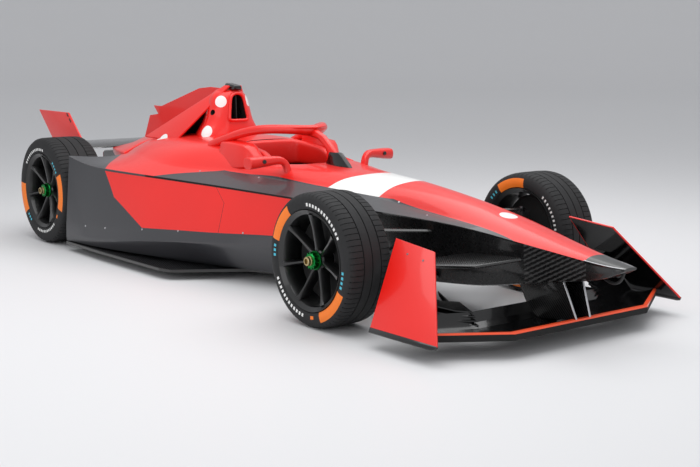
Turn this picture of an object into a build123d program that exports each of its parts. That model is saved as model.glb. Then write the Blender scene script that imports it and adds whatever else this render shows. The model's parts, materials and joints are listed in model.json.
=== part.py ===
"""Open wheel racing car with a hollow cockpit, halo, steered front wheels and delta-shaped body.

Millimetres. +X forward, +Y left, +Z up. The origin is on the ground, under the middle of the car.
Fore-and-aft places along the body are given from the front axle, forward positive, and at() turns
them into the part's own X.
"""
import os
from math import cos, radians, sin, sqrt

from build123d import *

os.makedirs("parts", exist_ok=True)

# ---------------------------------------------------------------- driving dimensions
LENGTH = 5016.2
WHEELBASE = 2970.5
FRONT_OVERHANG = 1253.0            # front axle to the tip of the nose
NOSE_TIP_X = LENGTH / 2
FRONT_AXLE_X = NOSE_TIP_X - FRONT_OVERHANG
REAR_AXLE_X = FRONT_AXLE_X - WHEELBASE

# wheels and tyres
FRONT_TYRE_R = 326.5
FRONT_TYRE_W = 260.0
FRONT_OUTER_Y = 842.5              # outer face of the front tyres
REAR_TYRE_R = 346.3
REAR_TYRE_W = 305.0
REAR_OUTER_Y = 836.0
RIM_R = 228.6                      # 18 inch bead seat
FLANGE_LIP = 13.9                  # from the bead seat out to the rim's edge
FLANGE_R = RIM_R + FLANGE_LIP
RIM_WALL = 9.0
TYRE_SHOULDER_R = 34.0
BEAD_INSET = 24.0                  # outer face of the tyre to its bead
BEAD_GAP = 4.0                     # between the rim's flange and the tyre
RIM_EDGE = 10.0
SPOKES = 7
SPOKE_W = 24.0
SPOKE_T = 20.0
SPOKE_INSET = 78.0                 # outer face of the tyre to the spokes' outer face
HUB_R = 56.0
NUT_R = 33.0
NUT_LENGTH = 44.0
NUT_NOSE_R = 17.0
NUT_NOSE_LENGTH = 26.0

# hubs, uprights and steering
STUB_R = 30.0                      # stub axle that turns in the upright
BEARING_GAP = 0.05
CARRIER_R = 58.0
KINGPIN_Y = 600.0
PIN_R = 9.0
PIN_GAP = 0.05
SEAT_GAP = 0.3                     # between pieces that turn on each other
EYE_R = 21.0
EYE_T = 22.0
UPPER_BALL_Z = 455.0
LOWER_BALL_Z = 198.0
ARM_CHORD = 42.0
ARM_T = 15.0
STEER_ARM = 112.0                  # kingpin to track rod pin
ROD_R = 9.0
ROD_Z = 292.0
ROD_POCKET = 60.0                  # square opening in the cell for the track rod
ROD_POCKET_Y = 230.0
ROD_POCKET_DEPTH = 150.0
ROD_END_Y = 240.0                  # rod end inside the skin at rest

UPRIGHT_Y = (560.0, 660.0)          # rear upright, inner and outer face
UPRIGHT_LENGTH = 96.0
UPRIGHT_T = 50.0
UPRIGHT_Z = (205.0, 495.0)
GEARCASE_Y = 190.0                 # half the width of the powertrain
SHAFT_R = 16.0
FRONT_STUB_Y = 597.0               # inner end of each stub axle
REAR_STUB_Y = 556.0

# body
CELL_Y = 420.0                     # joint between cell and side pods
DECK_Z = 500.0                     # joint between side pods and engine cover
REAR = -WHEELBASE                  # rear axle, from the front axle like every x below
TYRE_GAP = 24.2                    # between the body's rear end and the rear tyres
CELL_REAR = -1850.0
NOSE_JOINT = 435.0
COVER_FRONT = -1600.0
POD_REAR = REAR + REAR_TYRE_R + TYRE_GAP
COCKPIT_FRONT = -975.0
CELL_JOINT = -945.0                # between the tub round the driver and the footwell's shell
COCKPIT_REAR = -1560.0
COCKPIT_Y = 232.0
COCKPIT_CORNER_R = 125.0
COCKPIT_FLOOR_Z = 118.0
FOOTWELL_Y = 125.0
FOOTWELL_FRONT = 120.0
FOOTWELL_TOP_Z = 440.0
FOOTWELL_FLOOR_Z = 235.0


def at(x):
    """Part X of a place given from the front axle."""
    return FRONT_AXLE_X + x


# half sections of the outer body, from the front axle; y and z of each edge
# x, top z, rim y/z, crest y/z, chine y/z, foot y/z, ridge y/z, base y/z
BODY = [
    (1238, 394.5, 20, 393.5, 34, 391, 42, 389, 42, 384, 38, 381, 30, 379),
    (1120, 410, 42, 407, 62, 399, 69, 393, 66, 352, 60, 322, 45, 318),
    (914, 443, 62, 436, 90, 424, 98, 417, 95, 330, 92, 291, 70, 286),
    (614, 507, 95, 496, 148, 467, 160, 455, 155, 290, 145, 232, 110, 225),
    (NOSE_JOINT, 546, 98, 531, 150, 491, 196, 480, 190, 270, 172, 200, 130, 190),
    (190, 590, 100, 568, 155, 509, 250, 497, 235, 270, 205, 182, 150, 172),
    (-128, 628, 107, 602, 165, 534, 298, 502, 275, 275, 245, 175, 200, 150),
    (-310, 640, 125, 616, 190, 553, 336, 507, 320, 290, 290, 175, 240, 120),
    (-720, 648, 180, 630, 262, 577, 423, 519, 450, 310, 440, 250, 340, 62),
    (-1045, 662, 272, 655, 335, 587, 490, 528, 560, 285, 565, 222, 420, 62),
    (-1350, 664, 305, 660, 372, 596, 556, 536, 640, 265, 655, 205, 545, 62),
    (-1424, 740, 312, 735, 390, 597, 572, 537, 658, 262, 672, 200, 570, 62),
    (-1600, 765, 350, 742, 460, 590, 610, 541, 695, 250, 712, 185, 640, 62),
    (-1850, 775, 398, 735, 560, 600, 662, 545, 755, 235, 775, 160, 715, 62),
    (REAR + 725.5, 762, 400, 722, 520, 640, 745, 551, 805, 200, 822, 112, 800, 62),
    (REAR + 490.5, 752, 345, 694, 460, 620, 778, 548, 828, 180, 836, 98, 825, 62),
    (POD_REAR, 742, 288, 664, 425, 606, 812, 590, 838, 172, 840, 92, 836, 62),
]


def ring_of(half):
    """A closed outline from one half, mirrored across the car's middle plane."""
    return half + [(-y, z) for y, z in reversed(half) if y > 0]


def region(x_low, x_high, y_low, y_high, z_low, z_high):
    """A block given by its limits; x from the front axle."""
    block = Box(x_high - x_low, y_high - y_low, z_high - z_low, mode=Mode.PRIVATE)
    return Pos(at((x_low + x_high) / 2), (y_low + y_high) / 2, (z_low + z_high) / 2) * block


def write(shape, name):
    """Labels one finished piece and writes its file."""
    shape.label = name
    export_step(shape, f"parts/{name}.step")


SIDES = (("left", 1), ("right", -1))
WIDE = 1000.0                      # past the car's sides, for cutting blocks
HIGH = 1200.0                      # past the car's top

with BuildPart() as outer_body:
    for row in BODY:
        with BuildSketch(Plane.YZ.offset(at(row[0]))):
            with BuildLine():
                Polyline(*ring_of([(0, row[1])] + list(zip(row[2::2], row[3::2]))), close=True)
            make_face()
    loft(ruled=True)

# ---------------------------------------------------------------- survival cell
with BuildPart() as cockpit_room:
    with BuildSketch(Plane.XY.offset(COCKPIT_FLOOR_Z)):
        with Locations((at((COCKPIT_FRONT + COCKPIT_REAR) / 2), 0)):
            RectangleRounded(COCKPIT_FRONT - COCKPIT_REAR, 2 * COCKPIT_Y, COCKPIT_CORNER_R)
    extrude(amount=HIGH)
    add(region(COCKPIT_FRONT - COCKPIT_Y, FOOTWELL_FRONT, -FOOTWELL_Y, FOOTWELL_Y,
               FOOTWELL_FLOOR_Z, FOOTWELL_TOP_Z))

with BuildPart() as survival_cell:
    add(outer_body.part)
    add(region(CELL_REAR, CELL_JOINT, -CELL_Y, CELL_Y, 0, HIGH), mode=Mode.INTERSECT)
    add(region(CELL_REAR, COVER_FRONT, -WIDE, WIDE, DECK_Z, HIGH), mode=Mode.SUBTRACT)
    add(cockpit_room.part, mode=Mode.SUBTRACT)
write(survival_cell.part, "survival_cell")

with BuildPart() as footwell_shell:
    add(outer_body.part)
    add(region(CELL_JOINT, NOSE_JOINT, -CELL_Y, CELL_Y, 0, HIGH), mode=Mode.INTERSECT)
    add(cockpit_room.part, mode=Mode.SUBTRACT)
    for side in (1, -1):
        with Locations((at(-STEER_ARM), side * ROD_POCKET_Y, ROD_Z)):
            Box(ROD_POCKET, ROD_POCKET_DEPTH, ROD_POCKET, mode=Mode.SUBTRACT)
write(footwell_shell.part, "footwell_shell")

# ---------------------------------------------------------------- nose
TIP_Z = (380.0, 389.0)
TIP_HALF = (40.0, 18.0)            # half width of the flat tip at its root and at its end
with BuildPart() as nose:
    add(outer_body.part)
    add(region(NOSE_JOINT, FRONT_OVERHANG, -WIDE, WIDE, 0, HIGH), mode=Mode.INTERSECT)
    with BuildSketch(Plane.XY.offset(TIP_Z[0])):
        with BuildLine():
            Polyline((at(BODY[0][0]), -TIP_HALF[0]), (NOSE_TIP_X, -TIP_HALF[1]), (NOSE_TIP_X, TIP_HALF[1]),
                     (at(BODY[0][0]), TIP_HALF[0]), close=True)
        make_face()
    extrude(amount=TIP_Z[1] - TIP_Z[0])
write(nose.part, "nose")

# ---------------------------------------------------------------- side pods
for name, side in SIDES:
    inner, outer = sorted((side * CELL_Y, side * WIDE))
    with BuildPart() as pod:
        add(outer_body.part)
        add(region(POD_REAR, NOSE_JOINT, inner, outer, 0, HIGH), mode=Mode.INTERSECT)
        add(region(POD_REAR, COVER_FRONT, -WIDE, WIDE, DECK_Z, HIGH), mode=Mode.SUBTRACT)
    write(pod.part, f"sidepod_{name}")

# ---------------------------------------------------------------- engine cover with the airbox
# z, front x, rear x, half width of the airbox tower; x from the front axle
TOWER = [(690, -1868, -2330, 174), (780, -1875, -2240, 132), (860, -1882, -2180, 104), (940, -1888, -2110, 80),
         (1042, -1896, -2040, 46)]
MOUTH = [(850, 56), (984, 34)]     # z and half width of the intake's lower and upper edge
MOUTH_DEPTH = 120.0
with BuildPart() as tower:
    for z, front, rear, half in TOWER:
        with BuildSketch(Plane.XY.offset(z)):
            with BuildLine():
                Polyline((at(front), -half * 0.55), (at(front - 40), -half), (at(rear), -half * 0.5),
                         (at(rear), half * 0.5), (at(front - 40), half), (at(front), half * 0.55), close=True)
            make_face()
    loft(ruled=True)

HOIST_R = 17.0                     # cross bore through the roll structure
HOIST_X = -1952.0
HOIST_Z = 894.0
with BuildPart() as roll_structure:
    add(tower.part)
    with BuildSketch(Plane.XZ):
        with Locations((at(HOIST_X), HOIST_Z)):
            Circle(HOIST_R)
    extrude(amount=WIDE, both=True, mode=Mode.SUBTRACT)

BUTTRESS_T = 16.0
BUTTRESS_FOOT = (300.0, 715.0)     # y and z of the outer edge
BUTTRESS_HEAD = (34.0, 1042.0)
BUTTRESS_FOOT_X = (-2143, REAR + 440.5)
BUTTRESS_HEAD_X = (-1905, -2035)
buttress_drop = (BUTTRESS_FOOT[0] - BUTTRESS_HEAD[0], BUTTRESS_FOOT[1] - BUTTRESS_HEAD[1])
buttress_height = sqrt(buttress_drop[0] ** 2 + buttress_drop[1] ** 2)
with BuildPart() as buttresses:
    for name, side in SIDES:
        down = Vector(0, side * buttress_drop[0], buttress_drop[1])
        head = (0, side * BUTTRESS_HEAD[0], BUTTRESS_HEAD[1])
        slope = Plane(head, x_dir=down, z_dir=down.cross(Vector(side, 0, 0)))
        along = slope.y_dir.X
        with BuildSketch(slope):
            with BuildLine():
                Polyline((0, along * at(BUTTRESS_HEAD_X[0])),
                         (buttress_height, along * at(BUTTRESS_FOOT_X[0])),
                         (buttress_height, along * at(BUTTRESS_FOOT_X[1])),
                         (0, along * at(BUTTRESS_HEAD_X[1])), close=True)
            make_face()
        extrude(amount=BUTTRESS_T)

# the rear of the cover rises to a lip ahead of each tyre; x and z of the lip's side view
TYRE_LIP = [(POD_REAR + 240, DECK_Z), (POD_REAR + 240, 556), (POD_REAR + 130, 572), (POD_REAR + 60, 588),
            (POD_REAR, 607), (POD_REAR, DECK_Z)]
TYRE_LIP_Y = (560.0, 800.0)
with BuildPart() as engine_cover:
    add(outer_body.part)
    add(region(POD_REAR, COVER_FRONT, -WIDE, WIDE, DECK_Z, HIGH), mode=Mode.INTERSECT)
    for name, side in SIDES:
        with BuildSketch(Plane.XZ.offset(-side * TYRE_LIP_Y[0])):
            with BuildLine():
                Polyline(*[(at(x), z) for x, z in TYRE_LIP], close=True)
            make_face()
        extrude(amount=-side * (TYRE_LIP_Y[1] - TYRE_LIP_Y[0]))
    add(cockpit_room.part, mode=Mode.SUBTRACT)
    add(roll_structure.part)
    add(buttresses.part)
    with BuildSketch(Plane.YZ.offset(at(TOWER[0][1]))):
        with BuildLine():
            Polyline((-MOUTH[0][1], MOUTH[0][0]), (-MOUTH[1][1], MOUTH[1][0]), (MOUTH[1][1], MOUTH[1][0]),
                     (MOUTH[0][1], MOUTH[0][0]), close=True)
        make_face()
    extrude(amount=-MOUTH_DEPTH, mode=Mode.SUBTRACT)
write(engine_cover.part, "engine_cover")

# ---------------------------------------------------------------- shark fin
FIN_T = 16.0
FIN = [(-2040, 1040), (-2192, 1039), (-2326, 1025), (REAR + 118, 874), (REAR + 117, 829), (REAR - 9, 812),
       (REAR - 91, 659), (REAR - 70, 600), (REAR + 330, 700), (-2040, 700)]
with BuildPart() as shark_fin:
    with BuildSketch(Plane.XZ):
        with BuildLine():
            Polyline(*[(at(x), z) for x, z in FIN], close=True)
        make_face()
    extrude(amount=FIN_T / 2, both=True)
    add(engine_cover.part, mode=Mode.SUBTRACT)
write(shark_fin.part, "shark_fin")

# ---------------------------------------------------------------- tail cover, battery, powertrain, tail
POWERTRAIN_REAR = REAR - 109.5
# x, top z, then y and z of each edge
TAIL_COVER = [(POD_REAR, 742, 288, 664, 425, 606, 425, 540), (REAR + 70, 700, 170, 640, 330, 600, 330, 560),
              (POWERTRAIN_REAR, 655, 90, 622, 250, 600, 250, 580)]
with BuildPart() as tail_cover:
    for row in TAIL_COVER:
        with BuildSketch(Plane.YZ.offset(at(row[0]))):
            with BuildLine():
                Polyline(*ring_of([(0, row[1])] + list(zip(row[2::2], row[3::2]))), close=True)
            make_face()
    loft(ruled=True)
    add(shark_fin.part, mode=Mode.SUBTRACT)
write(tail_cover.part, "tail_cover")

BATTERY_REAR = REAR + 470.0
BATTERY_Y = 330.0
BATTERY_Z = (80.0, 470.0)
GEARCASE_Z = (175.0, 480.0)
TAIL_REAR = REAR - 629.5
# x, half width, lower and upper z of the tail
TAIL = [(POWERTRAIN_REAR, 120, 330, 575), (TAIL_REAR, 55, 420, 520)]
TAIL_CORNER_R = 20.0
with BuildPart() as battery:
    add(region(BATTERY_REAR, CELL_REAR, -BATTERY_Y, BATTERY_Y, *BATTERY_Z))
write(battery.part, "battery")

with BuildPart() as powertrain:
    add(region(POWERTRAIN_REAR, BATTERY_REAR, -GEARCASE_Y, GEARCASE_Y, *GEARCASE_Z))
write(powertrain.part, "powertrain")

with BuildPart() as tail:
    for x, half, low, high in TAIL:
        with BuildSketch(Plane.YZ.offset(at(x))):
            with Locations((0, (low + high) / 2)):
                RectangleRounded(2 * half, high - low, TAIL_CORNER_R)
    loft(ruled=True)
write(tail.part, "tail")

LIGHT_SIZE = (90.0, 76.0)
LIGHT_CORNER_R = 10.0
LIGHT_T = 26.0
with BuildPart() as rain_light:
    with BuildSketch(Plane.YZ.offset(at(TAIL_REAR))):
        with Locations((0, (TAIL[1][2] + TAIL[1][3]) / 2)):
            RectangleRounded(*LIGHT_SIZE, LIGHT_CORNER_R)
    extrude(amount=-LIGHT_T)
write(rain_light.part, "rain_light")

# ---------------------------------------------------------------- floor and diffuser
FLOOR_LOW_Z = 45.0
FLOOR_TOP_Z = 62.0
FLOOR = [(-560, 0), (-600, 180), (-1019, 350), (-1134, 412), (-1375, 794), (-1460, 818), (-2146, 842),
         (POD_REAR, 842), (POD_REAR, 0)]
with BuildPart() as floor:
    with BuildSketch(Plane.XY.offset(FLOOR_LOW_Z)):
        with BuildLine():
            Polyline(*[(at(x), y) for x, y in FLOOR + [(x, -y) for x, y in reversed(FLOOR[1:-1])]], close=True)
        make_face()
    extrude(amount=FLOOR_TOP_Z - FLOOR_LOW_Z)
write(floor.part, "floor")

DIFFUSER_Y = 480.0
DIFFUSER_START = POD_REAR - 160.0
DIFFUSER_REAR = REAR - 589.5
DIFFUSER_KICK = 250.0
STRAKE_T = 8.0
STRAKE_Y = 200.0
# x and z of a strake's side view
STRAKE = [(DIFFUSER_START, FLOOR_LOW_Z), (DIFFUSER_START, FLOOR_TOP_Z),
          (DIFFUSER_REAR, FLOOR_TOP_Z + DIFFUSER_KICK), (DIFFUSER_REAR, 150), (REAR - 229.5, FLOOR_LOW_Z)]
with BuildPart() as diffuser:
    with BuildSketch(Plane.XZ):
        with BuildLine():
            Polyline((at(POD_REAR), FLOOR_LOW_Z), (at(POD_REAR), FLOOR_TOP_Z),
                     (at(DIFFUSER_START), FLOOR_TOP_Z), (at(DIFFUSER_REAR), FLOOR_TOP_Z + DIFFUSER_KICK),
                     (at(DIFFUSER_REAR), FLOOR_LOW_Z + DIFFUSER_KICK), (at(DIFFUSER_START), FLOOR_LOW_Z),
                     close=True)
        make_face()
    extrude(amount=DIFFUSER_Y, both=True)
    for y in (-DIFFUSER_Y + STRAKE_T / 2, -STRAKE_Y, STRAKE_Y, DIFFUSER_Y - STRAKE_T / 2):
        with BuildSketch(Plane.XZ.offset(-y)):
            with BuildLine():
                Polyline(*[(at(x), z) for x, z in STRAKE], close=True)
            make_face()
        extrude(amount=STRAKE_T / 2, both=True)
write(diffuser.part, "diffuser")

# ---------------------------------------------------------------- rear wing
REAR_PLATE_T = 12.0
REAR_PLATE_Y = 474.0               # outer face
# x and z of the side views of a plate and of the plane between the plates
REAR_PLATE = [(REAR - 792.7, 824), (REAR - 320, 828), (REAR - 140, 670), (REAR - 70, 600), (REAR - 530, 570),
              (REAR - 590, 640)]
REAR_PLANE = [(REAR - 30, 610), (REAR - 50, 622), (REAR - 280, 626), (REAR - 510, 604), (REAR - 510, 600),
              (REAR - 280, 612), (REAR - 50, 604)]
for name, side in SIDES:
    with BuildPart() as rear_plate:
        with BuildSketch(Plane.XZ.offset(-side * (REAR_PLATE_Y - REAR_PLATE_T / 2))):
            with BuildLine():
                Polyline(*[(at(x), z) for x, z in REAR_PLATE], close=True)
            make_face()
        extrude(amount=REAR_PLATE_T / 2, both=True)
    write(rear_plate.part, f"rear_wing_plate_{name}")

with BuildPart() as rear_wing:
    with BuildSketch(Plane.XZ):
        with BuildLine():
            Polyline(*[(at(x), z) for x, z in REAR_PLANE], close=True)
        make_face()
    extrude(amount=REAR_PLATE_Y - REAR_PLATE_T, both=True)
    add(tail_cover.part, mode=Mode.SUBTRACT)
    add(shark_fin.part, mode=Mode.SUBTRACT)
write(rear_wing.part, "rear_wing")

# ---------------------------------------------------------------- front wing
# main plane: trailing edge is straight, leading edge swept back outboard of the kinks
WING_T = 44.0
WING_LOW_Z = 76.0
WING_KINK_Y = 420.0
WING_FRONT = 990.0
WING_REAR = 690.0
WING_TIP_FRONT = 750.0
WING_TIP_REAR = 560.0
WING_TIP_Y = 815.0
WING_REAR_Z = 158.0
WING_REAR_T = 10.0
WING_CHIN = (6.0, 60.0)            # height and length of the slope under the leading edge
# y, leading edge x, trailing edge x
WING_STATIONS = [(-WING_TIP_Y, WING_TIP_FRONT, WING_TIP_REAR), (-WING_KINK_Y, WING_FRONT, WING_REAR),
                 (WING_KINK_Y, WING_FRONT, WING_REAR), (WING_TIP_Y, WING_TIP_FRONT, WING_TIP_REAR)]
PYLON_Y = 52.0
PYLON_T = 12.0
PYLON = [(975, 120), (905, 300), (690, 300), (742, 140)]
with BuildPart() as front_wing:
    for y, front, rear in WING_STATIONS:
        with BuildSketch(Plane.XZ.offset(-y)):
            with BuildLine():
                Polyline((at(front), WING_LOW_Z + WING_CHIN[0]), (at(front), WING_LOW_Z + WING_T),
                         (at(rear), WING_REAR_Z), (at(rear), WING_REAR_Z - WING_REAR_T),
                         (at(front - WING_CHIN[1]), WING_LOW_Z), close=True)
            make_face()
    loft(ruled=True)
    for y in (-PYLON_Y, PYLON_Y):
        with BuildSketch(Plane.XZ.offset(-y)):
            with BuildLine():
                Polyline(*[(at(x), z) for x, z in PYLON], close=True)
            make_face()
        extrude(amount=PYLON_T / 2, both=True)
    add(nose.part, mode=Mode.SUBTRACT)
write(front_wing.part, "front_wing")

# end plates lean outboard at the bottom
PLATE_T = 9.0
PLATE_TOP = (594.0, 463.0)         # y and z of the inboard edge
PLATE_FOOT = (842.5, 75.0)
# x, and share of the way down, of each corner
PLATE_CORNERS = [(352, 0.0), (632, 0.057), (912, 0.99), (463, 1.0)]
plate_drop = (PLATE_FOOT[0] - PLATE_TOP[0], PLATE_FOOT[1] - PLATE_TOP[1])
plate_height = sqrt(plate_drop[0] ** 2 + plate_drop[1] ** 2)


def plate_plane(side):
    """Plane of an end plate: origin at its top edge over the front axle, local x down the plate."""
    down = Vector(0, side * plate_drop[0], plate_drop[1])
    return Plane((0, side * PLATE_TOP[0], PLATE_TOP[1]), x_dir=down, z_dir=down.cross(Vector(side, 0, 0)))


end_plates = {}
for name, side in SIDES:
    leaning = plate_plane(side)
    along = leaning.y_dir.X
    with BuildPart() as end_plate:
        with BuildSketch(leaning):
            with BuildLine():
                Polyline(*[(t * plate_height, along * at(x)) for x, t in PLATE_CORNERS], close=True)
            make_face()
        extrude(amount=-PLATE_T)
        add(front_wing.part, mode=Mode.SUBTRACT)
    end_plates[name] = end_plate.part
    write(end_plate.part, f"front_end_plate_{name}")

# flaps rise outboard behind the main plane, from a fence to the end plate
FLAP_T = 7.0
FLAP_REAR_T = 3.0
FENCE_Y = 430.0
FENCE_T = 8.0
FENCE = [(800, 150), (770, 190), (690, 222), (560, 262), (575, 225), (655, 150)]
# y, leading edge x/z, trailing edge x/z at three places along each flap
FLAP_SETS = [
    [(FENCE_Y, 760, 172, 668, 200), (600, 705, 188, 610, 250), (800, 640, 205, 560, 330)],
    [(FENCE_Y, 676, 218, 600, 244), (600, 618, 262, 550, 318), (780, 560, 325, 500, 400)],
]
flap_parts = {}
for name, side in SIDES:
    for number, stations in enumerate(FLAP_SETS):
        with BuildPart() as flap:
            for y, front, front_z, rear, rear_z in stations:
                with BuildSketch(Plane.XZ.offset(-side * y)):
                    with BuildLine():
                        Polyline((at(front), front_z), (at(front), front_z + FLAP_T),
                                 (at(rear), rear_z + FLAP_REAR_T), (at(rear), rear_z), close=True)
                    make_face()
            loft(ruled=True)
        flap_parts[name, number] = flap.part

flap_sides = {}
for name, side in SIDES:
    with BuildPart() as flap_side:
        with BuildSketch(Plane.XZ.offset(-side * FENCE_Y)):
            with BuildLine():
                Polyline(*[(at(x), z) for x, z in FENCE], close=True)
            make_face()
        extrude(amount=FENCE_T / 2, both=True)
        for number in range(len(FLAP_SETS)):
            add(flap_parts[name, number])
        with BuildSketch(plate_plane(side)):
            Rectangle(2 * WIDE, 2 * LENGTH)
        extrude(amount=-WIDE, mode=Mode.SUBTRACT)
        add(front_wing.part, mode=Mode.SUBTRACT)
    flap_sides[name] = flap_side.part

with BuildPart() as front_flaps:
    for name, side in SIDES:
        add(flap_sides[name])
write(front_flaps.part, "front_flaps")

# ---------------------------------------------------------------- halo
HALO_R = 23.0
# x, y, z of the left half of the ring's line, front to back, with the bend at each corner
HALO_LINE = [(-1005, 0, 833, 120), (-1130, 150, 840, 330), (-1400, 235, 826, 500), (-1590, 275, 785, 300),
             (-1700, 305, 722, 0)]
BLADE_T = 24.0
# x and z of the side view of the blade that carries the ring
BLADE = [(-850, 640), (-864, 728), (-953, 792), (-1020, 835), (-1120, 825), (-1110, 790), (-1050, 768),
         (-964, 720), (-972, 640)]
FAIRING_LOW = (640.0, -847.0, 246.0, 52.0)      # z, middle x, length, width
FAIRING_HIGH = (724.0, -881.0, 130.0, 36.0)
halo_left = [Vector(at(x), y, z) for x, y, z, bend in HALO_LINE]
halo_right = [Vector(at(x), -y, z) for x, y, z, bend in reversed(HALO_LINE[1:])]
halo_bends = [row[3] for row in HALO_LINE[1:-1]]
with BuildPart() as halo:
    with BuildLine() as halo_line:
        FilletPolyline(*(halo_right + halo_left),
                       radius=list(reversed(halo_bends)) + [HALO_LINE[0][3]] + halo_bends)
    with BuildSketch(Plane(halo_line.line @ 0, z_dir=halo_line.line % 0)):
        Circle(HALO_R)
    sweep()
    with BuildSketch(Plane.XZ):
        with BuildLine():
            Polyline(*[(at(x), z) for x, z in BLADE], close=True)
        make_face()
    extrude(amount=BLADE_T / 2, both=True)
    for body in (survival_cell, footwell_shell, engine_cover):
        add(body.part, mode=Mode.SUBTRACT)
write(halo.part, "halo")

with BuildPart() as halo_fairing:
    for z, middle, length, width in (FAIRING_LOW, FAIRING_HIGH):
        with BuildSketch(Plane.XY.offset(z)):
            with Locations((at(middle), 0)):
                Ellipse(length / 2, width / 2)
    loft(ruled=True)
    for body in (survival_cell, footwell_shell, halo):
        add(body.part, mode=Mode.SUBTRACT)
write(halo_fairing.part, "halo_fairing")

# ---------------------------------------------------------------- mirrors and camera pod
MIRROR_CORNER_R = 16.0
POST_CORNER_R = 6.0
# x, y, z, length and height of a mirror's housing at its inner and outer end
HOUSING = [(-985, 300, 688, 72, 46), (-1012, 515, 679, 66, 50)]
# z, x, y, length and width of its post at the foot and at the head
MIRROR_POST = [(590, -957, 274, 30, 16), (690, -972, 306, 34, 20)]
for name, side in SIDES:
    with BuildPart() as mirror:
        for x, y, z, length, height in HOUSING:
            with BuildSketch(Plane.XZ.offset(-side * y)):
                with Locations((at(x), z)):
                    RectangleRounded(length, height, MIRROR_CORNER_R)
        loft(ruled=True)
        for z, x, y, length, width in MIRROR_POST:
            with BuildSketch(Plane.XY.offset(z)):
                with Locations((at(x), side * y)):
                    RectangleRounded(length, width, POST_CORNER_R)
        loft(ruled=True)
        add(survival_cell.part, mode=Mode.SUBTRACT)
        add(footwell_shell.part, mode=Mode.SUBTRACT)
    write(mirror.part, f"mirror_{name}")

POD_X = -1955.0
POD_SIZE = (130.0, 92.0)
POD_CORNER_R = 24.0
POD_HEIGHT = 28.0
POD_TAPER = 12.0
with BuildPart() as camera_pod:
    with BuildSketch(Plane.XY.offset(TOWER[-1][0])):
        with Locations((at(POD_X), 0)):
            RectangleRounded(*POD_SIZE, POD_CORNER_R)
    extrude(amount=POD_HEIGHT, taper=POD_TAPER)
    add(shark_fin.part, mode=Mode.SUBTRACT)
    add(buttresses.part, mode=Mode.SUBTRACT)
write(camera_pod.part, "camera_pod")

# ---------------------------------------------------------------- cockpit fittings
FIT_GAP = 0.3
SEAT_Y = 190.0
SEAT_LOW_Z = COCKPIT_FLOOR_Z + FIT_GAP
# x and z of the seat's side view
SEAT = [(-1012, SEAT_LOW_Z), (-1012, 150), (-1120, 165), (-1470, 560), (-1500, 560), (-1500, 520),
        (-1160, SEAT_LOW_Z)]
with BuildPart() as seat:
    with BuildSketch(Plane.XZ):
        with BuildLine():
            Polyline(*[(at(x), z) for x, z in SEAT], close=True)
        make_face()
    extrude(amount=SEAT_Y, both=True)
    add(cockpit_room.part, mode=Mode.INTERSECT)
write(seat.part, "seat")

# raised sides of the cockpit; x and z of their side view
SURROUND = [(COCKPIT_REAR, 590), (COCKPIT_REAR, 735), (-1390, 735), (-1290, 722), (-1200, 695), (-1110, 668),
            (-1050, 655), (-1050, 590)]
SURROUND_Y = 330.0
with BuildPart() as cockpit_surround:
    for name, side in SIDES:
        with BuildSketch(Plane.XZ.offset(-side * COCKPIT_Y)):
            with BuildLine():
                Polyline(*[(at(x), z) for x, z in SURROUND], close=True)
            make_face()
        extrude(amount=-side * (SURROUND_Y - COCKPIT_Y))
    for body in (survival_cell, engine_cover, cockpit_room):
        add(body.part, mode=Mode.SUBTRACT)
write(cockpit_surround.part, "cockpit_surround")

HEADREST_FRONT = -1230.0
HEADREST_Z = (600.0, 728.0)
HEADREST_WALL = 90.0
with BuildPart() as headrest:
    add(region(COCKPIT_REAR, HEADREST_FRONT, -COCKPIT_Y, COCKPIT_Y, *HEADREST_Z))
    add(cockpit_room.part, mode=Mode.INTERSECT)
    add(region(COCKPIT_REAR + HEADREST_WALL / 2, 0, HEADREST_WALL - COCKPIT_Y, COCKPIT_Y - HEADREST_WALL, 0, HIGH),
        mode=Mode.SUBTRACT)
write(headrest.part, "headrest")

WHEEL_TILT = 22.0
WHEEL_X = -1095.0
WHEEL_Z = 545.0
WHEEL_SIZE = (270.0, 170.0)
WHEEL_T = 28.0
GRIP_SLOT = (30.0, 90.0)
GRIP_SLOT_Y = 101.0
WHEEL_CORNER_R = 60.0
SLOT_CORNER_R = 12.0
HUB_BOSS_R = 34.0
HUB_BOSS_LENGTH = 40.0
COLUMN_R = 17.0
COLUMN_LENGTH = 240.0
wheel_normal = (-cos(radians(WHEEL_TILT)), 0, sin(radians(WHEEL_TILT)))
rim_plane = Plane((at(WHEEL_X), 0, WHEEL_Z), x_dir=(0, 1, 0), z_dir=wheel_normal)
with BuildPart() as steering_wheel:
    with BuildSketch(rim_plane):
        RectangleRounded(*WHEEL_SIZE, WHEEL_CORNER_R)
        with Locations((-GRIP_SLOT_Y, 0), (GRIP_SLOT_Y, 0)):
            RectangleRounded(*GRIP_SLOT, SLOT_CORNER_R, mode=Mode.SUBTRACT)
    extrude(amount=WHEEL_T)
    with BuildSketch(rim_plane):
        Circle(HUB_BOSS_R)
    extrude(amount=-HUB_BOSS_LENGTH)
write(steering_wheel.part, "steering_wheel")

with BuildPart() as steering_column:
    with BuildSketch(rim_plane.offset(-HUB_BOSS_LENGTH - SEAT_GAP)):
        Circle(COLUMN_R)
    extrude(amount=-COLUMN_LENGTH)
    add(region(COCKPIT_FRONT, COCKPIT_FRONT + WIDE, -WIDE, WIDE, 0, HIGH), mode=Mode.SUBTRACT)
write(steering_column.part, "steering_column")

# ---------------------------------------------------------------- suspension and uprights


def arm_plane(start, end):
    """Plane across an arm at its start, chord level."""
    run = Vector(*end) - Vector(*start)
    return Plane(start, x_dir=Vector(0, 0, 1).cross(run), z_dir=run)


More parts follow.
